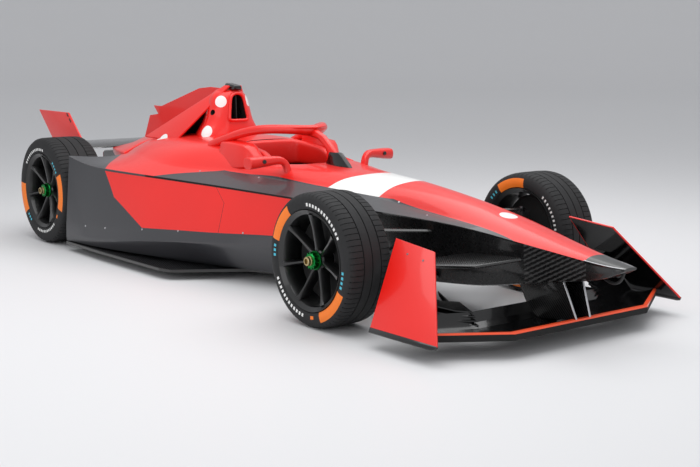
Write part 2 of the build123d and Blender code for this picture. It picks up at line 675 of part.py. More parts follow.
# arm section, a flat blade: share of half the chord, share of half the thickness
ARM_SECTION = [(-1, 0), (-0.55, 1), (0.45, 1), (1, 0), (0.45, -1), (-0.55, -1)]
ARM_RING = [(a * ARM_CHORD / 2, b * ARM_T / 2) for a, b in ARM_SECTION]
# arms of one front corner: height of the ball joint, then inner ends ahead of and behind the axle
FRONT_ARMS = [(UPPER_BALL_Z, (210, 200, 440), (-260, 240, 445)), (LOWER_BALL_Z, (240, 150, 215), (-300, 220, 215))]
REAR_ARMS = [(470, (260, 150, 440), (-60, 150, 450)), (230, (260, 150, 240), (-60, 150, 235))]
REAR_PIN_Y = 600.0
POST_X = 24.0                      # half the length of the knuckle's post
POST_Y = (586.0, 640.0)
CARRIER_Y = (606.0, 690.0)
BALL_PIN_REACH = 4.0               # past each side of the eye
STEER_ARM_W = 22.0
STEER_ARM_END = 16.0               # past the track rod's pin
STEER_ARM_T = 22.0
for name, side in SIDES:
    with BuildPart() as wishbones:
        for ball_z, ahead, behind in FRONT_ARMS:
            ball = (FRONT_AXLE_X, side * KINGPIN_Y, ball_z)
            for x, y, z in (ahead, behind):
                inner = (at(x), side * y, z)
                with BuildSketch(arm_plane(ball, inner)):
                    with BuildLine():
                        Polyline(*ARM_RING, close=True)
                    make_face()
                extrude(amount=(Vector(*inner) - Vector(*ball)).length)
            with Locations(ball):
                Cylinder(EYE_R, EYE_T)
                Cylinder(PIN_R + PIN_GAP, 2 * EYE_T, mode=Mode.SUBTRACT)
        add(outer_body.part, mode=Mode.SUBTRACT)
    write(wishbones.part, f"front_wishbones_{name}")

    with BuildPart() as knuckle:
        post_low = LOWER_BALL_Z + EYE_T / 2 + SEAT_GAP
        post_high = UPPER_BALL_Z - EYE_T / 2 - SEAT_GAP
        add(region(-POST_X, POST_X, *sorted((side * POST_Y[0], side * POST_Y[1])), post_low, post_high))
        arm_top = ROD_Z - ROD_R - SEAT_GAP
        arm_low = arm_top - STEER_ARM_T
        arm_faces = sorted((side * (KINGPIN_Y - STEER_ARM_W / 2), side * (KINGPIN_Y + STEER_ARM_W / 2)))
        add(region(-STEER_ARM - STEER_ARM_END, 0, *arm_faces, arm_low, arm_top))
        with Locations((at(-STEER_ARM), side * KINGPIN_Y, arm_low)):
            pin_height = STEER_ARM_T + 2 * ROD_R + BALL_PIN_REACH
            Cylinder(PIN_R, pin_height, align=(Align.CENTER, Align.CENTER, Align.MIN))
        with BuildSketch(Plane.XZ.offset(-side * CARRIER_Y[0])):
            with Locations((FRONT_AXLE_X, FRONT_TYRE_R)):
                Circle(CARRIER_R)
        extrude(amount=-side * (CARRIER_Y[1] - CARRIER_Y[0]))
        with BuildSketch(Plane.XZ):
            with Locations((FRONT_AXLE_X, FRONT_TYRE_R)):
                Circle(STUB_R + BEARING_GAP)
        extrude(amount=-side * WIDE, mode=Mode.SUBTRACT)
        for z in (LOWER_BALL_Z, UPPER_BALL_Z):
            with Locations((FRONT_AXLE_X, side * KINGPIN_Y, z)):
                Cylinder(PIN_R, EYE_T + 2 * BALL_PIN_REACH)
    write(knuckle.part, f"front_knuckle_{name}")

    with BuildPart() as track_rod:
        with Locations((at(-STEER_ARM), side * KINGPIN_Y, ROD_Z)):
            Cylinder(2 * ROD_R, 2 * ROD_R)
        with BuildSketch(Plane.XZ.offset(-side * KINGPIN_Y)):
            with Locations((at(-STEER_ARM), ROD_Z)):
                Circle(ROD_R - 1)
        extrude(amount=side * (KINGPIN_Y - ROD_END_Y))
        with Locations((at(-STEER_ARM), side * KINGPIN_Y, ROD_Z)):
            Cylinder(PIN_R + PIN_GAP, 4 * ROD_R, mode=Mode.SUBTRACT)
    write(track_rod.part, f"track_rod_{name}")

    with BuildPart() as rear_upright:
        with BuildSketch(Plane.XZ.offset(-side * UPRIGHT_Y[0])):
            with Locations((REAR_AXLE_X, REAR_TYRE_R)):
                Circle(CARRIER_R + 6)
        extrude(amount=-side * (UPRIGHT_Y[1] - UPRIGHT_Y[0]))
        with Locations((REAR_AXLE_X, side * (UPRIGHT_Y[0] + UPRIGHT_T / 2), sum(UPRIGHT_Z) / 2)):
            Box(UPRIGHT_LENGTH, UPRIGHT_T, UPRIGHT_Z[1] - UPRIGHT_Z[0])
        with BuildSketch(Plane.XZ.offset(-side * GEARCASE_Y)):
            with Locations((REAR_AXLE_X, REAR_TYRE_R)):
                Circle(STUB_R + BEARING_GAP)
        extrude(amount=-side * WIDE, mode=Mode.SUBTRACT)
    write(rear_upright.part, f"rear_upright_{name}")

    with BuildPart() as rear_wishbones:
        for ball_z, ahead, behind in REAR_ARMS:
            ball = (REAR_AXLE_X, side * REAR_PIN_Y, ball_z)
            for x, y, z in (ahead, behind):
                inner = (REAR_AXLE_X + x, side * y, z)
                with BuildSketch(arm_plane(ball, inner)):
                    with BuildLine():
                        Polyline(*ARM_RING, close=True)
                    make_face()
                extrude(amount=(Vector(*inner) - Vector(*ball)).length)
        reach = sorted((side * GEARCASE_Y, side * UPRIGHT_Y[0]))
        add(region(REAR - WIDE, REAR + WIDE, *reach, 0, HIGH), mode=Mode.INTERSECT)
        with BuildSketch(Plane.XZ.offset(-side * GEARCASE_Y)):
            with Locations((REAR_AXLE_X, REAR_TYRE_R)):
                Circle(SHAFT_R)
        extrude(amount=-side * (REAR_STUB_Y - SEAT_GAP - GEARCASE_Y))
    write(rear_wishbones.part, f"rear_wishbones_{name}")

# ---------------------------------------------------------------- wheels
# name, axle x, side, tyre radius, tyre width, outer face y, inner end of the stub axle
WHEELS = []
for name, side in SIDES:
    WHEELS.append((f"front_{name}", FRONT_AXLE_X, side, FRONT_TYRE_R, FRONT_TYRE_W, FRONT_OUTER_Y,
                   FRONT_STUB_Y))
    WHEELS.append((f"rear_{name}", REAR_AXLE_X, side, REAR_TYRE_R, REAR_TYRE_W, REAR_OUTER_Y,
                   REAR_STUB_Y))

for name, axle_x, side, tyre_r, tyre_w, outer_y, stub_y in WHEELS:
    # built about local Z, outer face of the tyre at z = 0, then stood on its axle
    stood = Plane((axle_x, side * outer_y, tyre_r), x_dir=(1, 0, 0), z_dir=(0, side, 0))
    bead = tyre_w / 2 - BEAD_INSET
    wall = tyre_w / 2
    shoulder = tyre_r - TYRE_SHOULDER_R
    bead_r = FLANGE_R + BEAD_GAP
    wall_r = FLANGE_R + 10
    mid_r = (wall_r + shoulder) / 2
    turn_r = tyre_r - TYRE_SHOULDER_R * 0.3
    edge_r = tyre_r - 2
    edge_y = TYRE_SHOULDER_R + 8
    with BuildPart() as tyre:
        with BuildSketch(Plane.XZ):
            with BuildLine():
                # bead, side wall, shoulder, tread, shoulder, side wall, bead
                foot = Polyline((RIM_R, -bead), (bead_r, -bead), (wall_r, 4 - wall))
                low_wall = ThreePointArc(foot @ 1, (mid_r, -wall), (shoulder, 6 - wall))
                low_turn = ThreePointArc(low_wall @ 1, (turn_r, 18 - wall), (edge_r, edge_y - wall))
                tread = ThreePointArc(low_turn @ 1, (tyre_r, 0), (edge_r, wall - edge_y))
                high_turn = ThreePointArc(tread @ 1, (turn_r, wall - 18), (shoulder, wall - 6))
                high_wall = ThreePointArc(high_turn @ 1, (mid_r, wall), (wall_r, wall - 4))
                Polyline(high_wall @ 1, (bead_r, bead), (RIM_R, bead), (RIM_R, -bead))
            make_face()
        revolve(axis=Axis.Z)
    write(stood.offset(-tyre_w / 2).location * tyre.part, f"{name}_tyre")

    with BuildPart() as rim:
        with BuildSketch(Plane.XZ):
            with BuildLine():
                mid = -tyre_w / 2
                low, high = mid - bead, mid + bead
                Polyline((RIM_R - RIM_WALL, low - RIM_EDGE), (FLANGE_R, low - RIM_EDGE), (FLANGE_R, low),
                         (RIM_R, low), (RIM_R, high), (FLANGE_R, high), (FLANGE_R, high + RIM_EDGE),
                         (RIM_R - RIM_WALL, high + RIM_EDGE), close=True)
            make_face()
        revolve(axis=Axis.Z)
        with BuildSketch(Plane.XY.offset(-SPOKE_INSET - SPOKE_T)):
            Circle(HUB_R)
            with PolarLocations((HUB_R + RIM_R) / 2 - 6, SPOKES):
                Rectangle(RIM_R - HUB_R + 10, SPOKE_W)
        extrude(amount=SPOKE_T)
        with BuildSketch(Plane.XY.offset(-(outer_y - stub_y))):
            Circle(STUB_R)
        extrude(amount=outer_y - stub_y - SPOKE_INSET)
    write(stood.location * rim.part, f"{name}_rim")

    with BuildPart() as nut:
        with BuildSketch(Plane.XY.offset(-SPOKE_INSET)):
            Circle(NUT_R)
        extrude(amount=NUT_LENGTH)
        with BuildSketch(Plane.XY.offset(-SPOKE_INSET + NUT_LENGTH)):
            Circle(NUT_NOSE_R)
        extrude(amount=NUT_NOSE_LENGTH)
    write(stood.location * nut.part, f"{name}_nut")
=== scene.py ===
"""Looks of an open wheel racing car: painted bodywork, tyres and wheels, wings, halo and cockpit.

Metres, in the frame's own axes: +X forward, +Y left, +Z up, origin on the ground under the middle of
the car. Places along the car are given from the front axle, forward positive, and at() turns them
into the frame's own X.
"""
import json
from math import atan2, cos, pi, radians, sin, tau

import bmesh
import bpy
from mathutils import Matrix, Vector

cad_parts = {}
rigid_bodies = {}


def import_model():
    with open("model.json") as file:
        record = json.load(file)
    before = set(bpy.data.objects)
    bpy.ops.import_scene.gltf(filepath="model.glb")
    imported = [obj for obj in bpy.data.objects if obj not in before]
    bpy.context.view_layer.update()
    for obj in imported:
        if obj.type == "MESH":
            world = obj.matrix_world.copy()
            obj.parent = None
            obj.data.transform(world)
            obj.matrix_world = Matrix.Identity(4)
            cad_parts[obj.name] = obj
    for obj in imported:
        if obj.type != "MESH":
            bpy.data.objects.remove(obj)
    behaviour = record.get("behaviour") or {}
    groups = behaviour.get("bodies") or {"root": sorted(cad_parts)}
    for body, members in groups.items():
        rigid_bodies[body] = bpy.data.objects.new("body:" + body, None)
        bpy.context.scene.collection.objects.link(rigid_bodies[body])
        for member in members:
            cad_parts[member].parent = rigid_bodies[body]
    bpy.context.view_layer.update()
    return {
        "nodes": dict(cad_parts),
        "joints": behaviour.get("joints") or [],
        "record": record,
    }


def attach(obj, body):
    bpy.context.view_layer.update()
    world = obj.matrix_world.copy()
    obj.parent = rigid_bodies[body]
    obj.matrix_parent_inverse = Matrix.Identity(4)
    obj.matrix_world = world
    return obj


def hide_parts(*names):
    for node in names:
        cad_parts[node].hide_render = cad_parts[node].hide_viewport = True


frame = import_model()
JOINTS = {joint["name"]: joint for joint in frame["joints"]}
FRONT_AXLE = Vector(JOINTS["spin_front_left"]["pos_m"])
REAR_AXLE = Vector(JOINTS["spin_rear_left"]["pos_m"])
SIDES = (("left", 1), ("right", -1))       # +Y is the left side


def at(x, y, z):
    """A place given from the front axle, in the frame."""
    return Vector((FRONT_AXLE.x + x, y, z))


# ---------------------------------------------------------------- camera
IMAGE_WIDTH = 700.0
FOCAL_PIXELS = 1235.5
SENSOR = 36.0
CAMERA_PLACE = (5.888, -4.257, 1.415)
CAMERA_YAW, CAMERA_PITCH, CAMERA_ROLL = 141.61, -9.41, -0.448


def make_camera():
    """The camera, turned by yaw about the vertical, pitch above the level and roll about its line."""
    camera = bpy.data.objects.new("camera", bpy.data.cameras.new("camera"))
    camera.data.sensor_width = SENSOR
    camera.data.lens = SENSOR * FOCAL_PIXELS / IMAGE_WIDTH
    yaw, pitch = radians(CAMERA_YAW), radians(CAMERA_PITCH)
    forward = Vector((cos(pitch) * cos(yaw), cos(pitch) * sin(yaw), sin(pitch)))
    turn = forward.to_track_quat("-Z", "Y").to_matrix().to_4x4()
    roll = Matrix.Rotation(radians(CAMERA_ROLL), 4, forward)
    camera.matrix_world = Matrix.Translation(CAMERA_PLACE) @ roll @ turn
    bpy.context.collection.objects.link(camera)
    bpy.context.scene.camera = camera


make_camera()
bpy.context.scene.view_settings.view_transform = "Standard"


# ---------------------------------------------------------------- helpers for meshes
def ring_edges(bm, points, closed=False):
    """A chain of new edges through the points."""
    verts = [bm.verts.new(point) for point in points]
    ends = list(zip(verts, verts[1:])) + ([(verts[-1], verts[0])] if closed else [])
    return [bm.edges.new(pair) for pair in ends]


def everything(bm):
    """All vertices, edges and faces."""
    return bm.verts[:] + bm.edges[:] + bm.faces[:]


def new_verts(made):
    """The vertices in what an operator made."""
    return [v for v in made["geom"] if isinstance(v, bmesh.types.BMVert)]


def outline_face(bm, points):
    """One new face through the points."""
    return bm.faces.new([bm.verts.new(point) for point in points])


def extrude_face(bm, face, step):
    """Extrudes one face by a vector, leaving the first face in place as the other cap."""
    made = bmesh.ops.extrude_face_region(bm, geom=[face], use_keep_orig=True)
    bmesh.ops.translate(bm, vec=step, verts=new_verts(made))


def extrude_edges(bm, edges, step):
    """A strip swept from a chain of edges by a vector."""
    made = bmesh.ops.extrude_edge_only(bm, edges=edges)
    bmesh.ops.translate(bm, vec=step, verts=new_verts(made))


def bevel_all(bm, width, segments=2, angle=30.0):
    """Rounds every edge whose faces meet at more than the angle."""
    edges = [e for e in bm.edges if len(e.link_faces) == 2 and e.calc_face_angle(0) > radians(angle)]
    bmesh.ops.bevel(bm, geom=edges, offset=width, segments=segments, profile=0.5, affect="EDGES",
                    material=-1)


def loft_rings(bm, rings, closed=True, caps=True):
    """Skins rings of points one after another and caps both ends."""
    loops = [ring_edges(bm, ring, closed=closed) for ring in rings]
    for first, second in zip(loops, loops[1:]):
        bmesh.ops.bridge_loops(bm, edges=first + second)
    if caps:
        for loop in (loops[0], loops[-1]):
            bmesh.ops.contextual_create(bm, geom=loop)


def rounded(bm, bevel):
    """A form with its edges rounded, if a bevel is given."""
    if bevel:
        bevel_all(bm, **bevel)
    return bm


def lofted(rings, closed=True, caps=True, **bevel):
    """A new form skinned over rings of points."""
    bm = bmesh.new()
    loft_rings(bm, rings, closed, caps)
    return rounded(bm, bevel)


def slab(points, step, **bevel):
    """A new form of a flat outline given thickness by a vector."""
    bm = bmesh.new()
    extrude_face(bm, outline_face(bm, points), step)
    return rounded(bm, bevel)


def side_plate(outline, y, thickness, **bevel):
    """A plate cut to an outline of the side view (x, z), from a place across the car."""
    return slab([at(x, y, z) for x, z in outline], (0, thickness, 0), **bevel)


def on_side(points, side=1):
    """Points given for the left side, in the frame, on either side."""
    return [at(x, side * y, z) for x, y, z in points]


def pairs(values):
    """Two values at a time from a flat row."""
    return list(zip(values[::2], values[1::2]))


def with_mirror(half, place=0, skip=(0, 0)):
    """Half an outline, then its mirror image run backwards; place tells where y stands in a point.

    skip leaves points at the start and the end of the half out of the image.
    """
    image = half[skip[0]:len(half) - skip[1]]
    return list(half) + [(*p[:place], -p[place], *p[place + 1:]) for p in reversed(image)]


def turned(place, angle=0.0, axis="Z"):
    """Matrix that turns by degrees about an axis and then moves to a place."""
    return Matrix.Translation(place) @ Matrix.Rotation(radians(angle), 4, axis)


def facing(place, way, front="Z"):
    """Matrix that turns the front towards a direction and then moves to a place."""
    return Matrix.Translation(place) @ Vector(way).to_track_quat(front, "Y").to_matrix().to_4x4()


def add_box(bm, matrix, size):
    """A box of three sizes about the matrix's place."""
    bmesh.ops.create_cube(bm, size=1.0, matrix=matrix @ Matrix.Diagonal((*size, 1.0)))


def add_stud(bm, matrix, foot, head, depth, segments=20):
    """A short round post along the matrix's Z: radius of its foot and of its head, and its length."""
    bmesh.ops.create_cone(bm, cap_ends=True, segments=segments, radius1=foot, radius2=head,
                          depth=depth, matrix=matrix)


def box(matrix, size, **bevel):
    """A new form of one box."""
    bm = bmesh.new()
    add_box(bm, matrix, size)
    return rounded(bm, bevel)


def stud(*measures, **bevel):
    """A new form of one post."""
    bm = bmesh.new()
    add_stud(bm, *measures)
    return rounded(bm, bevel)


def signed_power(value, power):
    """A sine or cosine pushed outwards, which squares a circle's corners."""
    return abs(value) ** power * (1 if value > 0 else -1)


def squared_circle(powers, steps=12):
    """Points round a circle of radius 1 whose corners are squared, each way by its own power."""
    angles = [tau * step / steps for step in range(steps)]
    return [(signed_power(cos(a), powers[0]), signed_power(sin(a), powers[1])) for a in angles]


# ---------------------------------------------------------------- helpers for pieces
def as_object(bm, name, materials):
    """A bmesh turned into an object with its materials."""
    mesh = bpy.data.meshes.new(name)
    bm.to_mesh(mesh)
    bm.free()
    for finish in materials:
        mesh.materials.append(finish)
    piece = bpy.data.objects.new(name, mesh)
    bpy.context.collection.objects.link(piece)
    return piece


def smooth_mesh(mesh, angle):
    """Shades a mesh smooth and keeps edges over the angle sharp."""
    mesh.shade_smooth()
    mesh.set_sharp_from_angle(angle=radians(angle))


def finish_piece(bm, name, slot, materials, smooth=40.0, replaces=(), body="chassis", recalc=True):
    """Turns a bmesh into a piece that rides on a body, with its materials and its sharp edges."""
    if recalc:
        bmesh.ops.recalc_face_normals(bm, faces=bm.faces)
    piece = as_object(bm, name, materials)
    smooth_mesh(piece.data, smooth)
    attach(piece, body)
    if replaces:
        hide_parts(*replaces)
    return piece


def bake_modifiers(piece, smooth=35.0):
    """Applies a piece's modifiers to its mesh."""
    graph = bpy.context.evaluated_depsgraph_get()
    mesh = bpy.data.meshes.new_from_object(piece.evaluated_get(graph))
    piece.modifiers.clear()
    piece.data = mesh
    smooth_mesh(mesh, smooth)


def add_subdivision(piece, levels):
    """Rounds a piece inside its cage."""
    modifier = piece.modifiers.new("rounding", "SUBSURF")
    modifier.levels = modifier.render_levels = levels


def add_wall(piece, thickness, offset):
    """Gives a sheet a thickness: 0 puts it half on each side and 1 outside."""
    modifier = piece.modifiers.new("wall", "SOLIDIFY")
    modifier.thickness = thickness
    modifier.offset = offset


def cut_away(piece, bm, finish):
    """Takes a block out of a piece, which leaves the block's finish on the cut, and drops the block."""
    bmesh.ops.recalc_face_normals(bm, faces=bm.faces)
    cutter = as_object(bm, "cutter", [finish])
    modifier = piece.modifiers.new("opening", "BOOLEAN")
    modifier.object = cutter
    modifier.solver = "EXACT"
    modifier.material_mode = "TRANSFER"
    bake_modifiers(piece)
    bpy.data.objects.remove(cutter)


def tube(points, radius, radii=None, order=4, resolution=8, bevel=6, ring=False):
    """Mesh of a round tube along a smooth line through control points, with closed ends or a ring."""
    curve = bpy.data.curves.new("tube", "CURVE")
    curve.dimensions = "3D"
    curve.bevel_depth = radius
    curve.bevel_resolution = bevel
    curve.resolution_u = resolution
    curve.use_fill_caps = not ring
    spline = curve.splines.new("NURBS")
    spline.points.add(len(points) - 1)
    for number, point in enumerate(points):
        spline.points[number].co = (*point, 1.0)
        spline.points[number].radius = radii[number] if radii else 1.0
    spline.order_u = order
    spline.use_endpoint_u = not ring
    spline.use_cyclic_u = ring
    holder = bpy.data.objects.new("tube", curve)
    bpy.context.collection.objects.link(holder)
    bpy.context.view_layer.update()
    graph = bpy.context.evaluated_depsgraph_get()
    mesh = bpy.data.meshes.new_from_object(holder.evaluated_get(graph))
    bpy.data.objects.remove(holder)
    bm = bmesh.new()
    bm.from_mesh(mesh)
    bpy.data.meshes.remove(mesh)
    bmesh.ops.remove_doubles(bm, verts=bm.verts, dist=0.0002)
    return bm


# ---------------------------------------------------------------- materials
class Nodes:
    """Short calls for the nodes of one material."""

    def __init__(self, name, **shader):
        self.material = bpy.data.materials.new(name)
        self.material.use_nodes = True
        self.tree = self.material.node_tree
        self.shader = self.tree.nodes["Principled BSDF"]
        for socket, value in shader.items():
            self.shader.inputs[socket.replace("_", " ")].default_value = value

    def feed(self, socket, value):
        """Links another socket's value to a socket, or sets a constant on it."""
        if isinstance(value, bpy.types.NodeSocket):
            self.tree.links.new(value, socket)
        else:
            socket.default_value = value

    def node(self, kind, settings=(), **links):
        """A node of a kind, with its settings and its inputs: numbers, colours or other sockets."""
        made = self.tree.nodes.new("ShaderNode" + kind)
        for key, value in dict(settings).items():
            setattr(made, key, value)
        for key, value in links.items():
            name = int(key[1:]) if key[1:].isdigit() else key.replace("_", " ")
            self.feed(made.inputs[name], value)
        return made

    def math(self, operation, first, second=0.0, clamp=False):
        settings = {"operation": operation, "use_clamp": clamp}
        return self.node("Math", settings, i0=first, i1=second).outputs[0]

    def add(self, first, second):
        return self.math("ADD", first, second)

    def minus(self, first, second):
        return self.math("SUBTRACT", first, second)

    def times(self, first, second):
        return self.math("MULTIPLY", first, second)

    def most(self, first, second):
        return self.math("MAXIMUM", first, second)

    def over(self, first, second):
        """1 where the first value is over the second."""
        return self.math("GREATER_THAN", first, second)

    def place(self):
        """X, Y and Z of the object's own coordinates."""
        point = self.node("TexCoord").outputs["Object"]
        return self.node("SeparateXYZ", i0=point).outputs

    def noise(self, scale, detail=3.0):
        point = self.node("TexCoord").outputs["Object"]
        return self.node("TexNoise", Vector=point, Scale=scale, Detail=detail).outputs["Fac"]

    def mix(self, share, first, second):
        """A colour between two colours."""
        made = self.node("Mix", {"data_type": "RGBA"}, Factor=share)
        self.feed(made.inputs[6], first)
        self.feed(made.inputs[7], second)
        return made.outputs[2]

    def spread(self, value, low, high):
        """A share from 0 to 1 turned into a value from low to high."""
        return self.node("MapRange", Value=value, i3=low, i4=high).outputs[0]

    def bump(self, height, strength, distance):
        made = self.node("Bump", Height=height, Strength=strength, Distance=distance)
        self.link(made.outputs[0], "Normal")

    def link(self, value, socket):
        self.tree.links.new(value, self.shader.inputs[socket])

    def uneven(self, scale, roughness, less, more):
        """Roughness that wanders a little below and above its middle value."""
        self.link(self.spread(self.noise(scale), roughness - less, roughness + more), "Roughness")


def rgb(red, green, blue):
    """A colour given in 0 to 255 display values, as linear light."""
    light = [((v / 255 + 0.055) / 1.055) ** 2.4 if v > 10 else v / 3294.6 for v in (red, green, blue)]
    return (*light, 1.0)


def scaled(colour, share):
    """A lighter or darker shade of a colour."""
    return (*(c * share for c in colour[:3]), 1.0)


def painted(name, colour, roughness=0.34, coat=0.4, draw=None):
    """Sprayed paint under lacquer, a little uneven; draw() may lay other colours over the base."""
    m = Nodes(name, Roughness=roughness, Coat_Weight=coat, Coat_Roughness=0.06)
    tone = m.spread(m.noise(3.0), 0.93, 1.05)
    toned = m.node("VectorMath", {"operation": "SCALE"}, Scale=tone)
    m.feed(toned.inputs[0], draw(m, colour) if draw else colour[:3])
    m.link(toned.outputs[0], "Base Color")
    m.uneven(40.0, roughness, 0.04, 0.06)
    m.bump(m.noise(260.0, 2.0), 0.02, 0.001)
    return m.material


def carbon(name, pitch, light, dark=rgb(7, 7, 8), roughness=0.32, coat=0.6):
    """Woven carbon under lacquer: tows run both ways on each face, two over and two under."""
    m = Nodes(name, Roughness=roughness, Coat_Weight=coat, Coat_Roughness=0.08)
    x, y, z = m.place()
    along = m.math("DIVIDE", m.add(x, m.times(y, 0.35)), pitch)
    across = m.math("DIVIDE", m.add(z, m.times(y, 0.9)), pitch)
    step = m.add(m.math("FLOOR", along), m.math("FLOOR", across))
    over = m.math("LESS_THAN", m.math("FLOORED_MODULO", step, 4.0), 2.0)
    ridges = [m.math("PINGPONG", way, 0.5) for way in (along, across)]
    ridge = m.node("Mix", {"data_type": "FLOAT"}, i0=over, i2=ridges[0], i3=ridges[1]).outputs[0]
    share = m.math("ADD", m.times(over, 0.55), m.times(ridge, 0.9), clamp=True)
    m.link(m.mix(share, dark, light), "Base Color")
    m.link(m.spread(over, roughness - 0.05, roughness + 0.08), "Roughness")
    m.bump(ridge, 0.12, 0.001)
    return m.material


WEAVE_PANEL = (0.722, 1.048)               # coarse weave shows between these places along the nose


def nose_carbon(name, pitch=0.036, dark=rgb(9, 9, 10), light=rgb(66, 66, 66)):
    """Lacquered dark side of the nose, with slanting coarse tows over one panel."""
    m = Nodes(name, Roughness=0.26, Coat_Weight=0.5, Coat_Roughness=0.08)
    x, y, z = m.place()
    tow = m.math("DIVIDE", m.minus(m.times(x, 0.55), z), pitch * 0.62)
    run = m.math("DIVIDE", m.add(x, m.times(z, 0.55)), pitch)
    step = m.add(run, m.times(m.math("FLOOR", tow), 0.5))
    ridge = m.math("PINGPONG", tow, 0.5)
    tooth = m.math("PINGPONG", step, 0.5)
    share = m.times(m.over(m.add(ridge, m.times(tooth, 0.25)), 0.36), 0.85)
    rear, front = (FRONT_AXLE.x + end for end in WEAVE_PANEL)
    panel = m.times(m.over(x, rear), m.over(front, x))
    m.link(m.mix(m.times(share, panel), dark, light), "Base Color")
    m.link(m.spread(m.noise(60.0), 0.22, 0.34), "Roughness")
    m.bump(m.times(ridge, panel), 0.25, 0.001)
    return m.material


def rubber(name, colour=rgb(31, 31, 32), roughness=0.72):
    """Moulded rubber with fine grain and a little dust."""
    m = Nodes(name, Roughness=roughness, Specular_IOR_Level=0.35)
    m.link(m.mix(m.noise(18.0, 6.0), colour, scaled(colour, 1.7)), "Base Color")
    m.uneven(60.0, roughness, 0.08, 0.1)
    m.bump(m.noise(900.0, 2.0), 0.25, 0.0006)
    return m.material


def sidewall_print(name, colour):
    """Ink printed on a tyre's side, worn a little by the rubber's grain."""
    m = Nodes(name, Roughness=0.55)
    wear = m.spread(m.noise(90.0, 4.0), 0.0, 0.12)
    m.link(m.mix(wear, colour, rgb(90, 80, 70)), "Base Color")
    m.bump(m.noise(900.0, 2.0), 0.15, 0.0006)
    return m.material


def machined(name, colour, roughness=0.28):
    """Turned and anodised metal with fine marks."""
    m = Nodes(name, Roughness=roughness, Metallic=1.0)
    m.link(m.mix(m.noise(24.0, 5.0), colour, scaled(colour, 0.7)), "Base Color")
    m.uneven(120.0, roughness, 0.08, 0.12)
    return m.material


def moulded(name, colour, roughness=0.5, grain=400.0):
    """Moulded plastic, powder coat or cloth with fine grain."""
    m = Nodes(name, Roughness=roughness)
    m.link(m.mix(m.noise(9.0), colour, scaled(colour, 1.25)), "Base Color")
    m.uneven(70.0, roughness, 0.06, 0.08)
    m.bump(m.noise(grain, 2.0), 0.12, 0.0008)
    return m.material


RED = rgb(232, 24, 14)
SLATE = rgb(50, 50, 54)
WHITE = rgb(238, 238, 236)
TIP_GREY = rgb(46, 46, 45)
SEAM_DARK = rgb(30, 6, 6)
SILL_BLACK = rgb(10, 10, 11)
# the flank is red inside these lines of the side view: x and z of two points of each
FLANK_LINES = [((-2.252, 0.551), (-2.117, 0.391)), ((-2.117, 0.391), (-1.783, 0.237)),
               ((-1.783, 0.237), (-0.827, 0.298))]
# the deck's slate strip is outboard of the furthest out of these plan lines: x and y of two points
STRIP_LINES = [((-1.8, 0.651), (-1.43, 0.4)), ((-1.45, 0.4), (-0.31, 0.19)),
               ((0.435, 0.152), (0.72, 0.146))]
STRIP_END = 0.76
REAR_STRIP = ((-2.245, 0.735), (-2.530, 0.490))
REAR_STRIP_START = -2.20
# seam down each flank: z and x of two points of its lower and of its upper run
FLANK_SEAM = [((0.274, -1.181), (0.444, -1.194)), ((0.444, -1.194), (0.544, -1.306))]
SEAM_HALF = 0.0012
# white band over the cell: x of its edges on the middle, and how they bow back by the square of y
BAND_REAR = (-0.500, 2.0)
BAND_FRONT = (-0.190, 2.4)
TIP_START = 1.045
# centre and radius of the blank roundels, on both sides
ROUNDELS = [(-1.922, 0.098, 0.962, 0.037), (-1.944, 0.194, 0.779, 0.04), (-2.29, 0.3, 0.706, 0.042),
            (0.49, 0.0, 0.532, 0.045)]
COCKPIT_PAINT_Z = 0.50


def line_height(m, x, line):
    """The value of a straight line, given by two points, at a place along the car."""
    (x0, y0), (x1, y1) = line
    slope = (y1 - y0) / (x1 - x0)
    return m.add(m.times(x, slope), y0 - slope * (FRONT_AXLE.x + x0))


def draw_flank(m, colour):
    """Red inside the flank's lines, slate outside, and a dark seam."""
    x, y, z = m.place()
    inside = None
    for (x0, z0), (x1, z1) in FLANK_LINES:
        along, up = m.minus(x, FRONT_AXLE.x + x0), m.minus(z, z0)
        across = m.add(m.times(along, z0 - z1), m.times(up, x1 - x0))
        inside = across if inside is None else m.math("MINIMUM", inside, across)
    base = m.mix(m.over(inside, 0.0), SLATE, colour)
    low, high = (line_height(m, m.add(z, FRONT_AXLE.x), run) for run in FLANK_SEAM)
    off = m.minus(m.minus(x, FRONT_AXLE.x), m.math("MINIMUM", low, high))
    return m.mix(m.over(SEAM_HALF, m.math("ABSOLUTE", off)), base, SEAM_DARK)


def draw_deck(m, colour):
    """Slate strips along the deck's edges, a white band across the cell and a bare grey nose tip."""
    x, y, z = m.place()
    aside = m.math("ABSOLUTE", y)
    edge = line_height(m, x, STRIP_LINES[0])
    for line in STRIP_LINES[1:]:
        edge = m.most(edge, line_height(m, x, line))
    strip = m.times(m.over(aside, edge), m.over(FRONT_AXLE.x + STRIP_END, x))
    behind = m.over(FRONT_AXLE.x + REAR_STRIP_START, x)
    rear = m.times(m.over(aside, line_height(m, x, REAR_STRIP)), behind)
    bow = m.times(y, y)
    from_rear, from_front = (m.add(x, m.times(bow, band[1])) for band in (BAND_REAR, BAND_FRONT))
    band = m.times(m.over(from_rear, FRONT_AXLE.x + BAND_REAR[0]),
                   m.over(FRONT_AXLE.x + BAND_FRONT[0], from_front))
    base = m.mix(m.most(strip, rear), m.mix(band, colour, WHITE), SLATE)
    return m.mix(m.over(x, FRONT_AXLE.x + TIP_START), base, TIP_GREY)


def draw_roundels(m, colour):
    """Blank white discs."""
    x, y, z = m.place()
    place = m.node("CombineXYZ", X=x, Y=m.math("ABSOLUTE", y), Z=z).outputs[0]
    share = None
    for *centre, radius in ROUNDELS:
        reach = m.node("VectorMath", {"operation": "DISTANCE"}, i0=place, i1=at(*centre))
        inside = m.over(radius, reach.outputs["Value"])
        share = inside if share is None else m.most(share, inside)
    return m.mix(share, colour, WHITE)


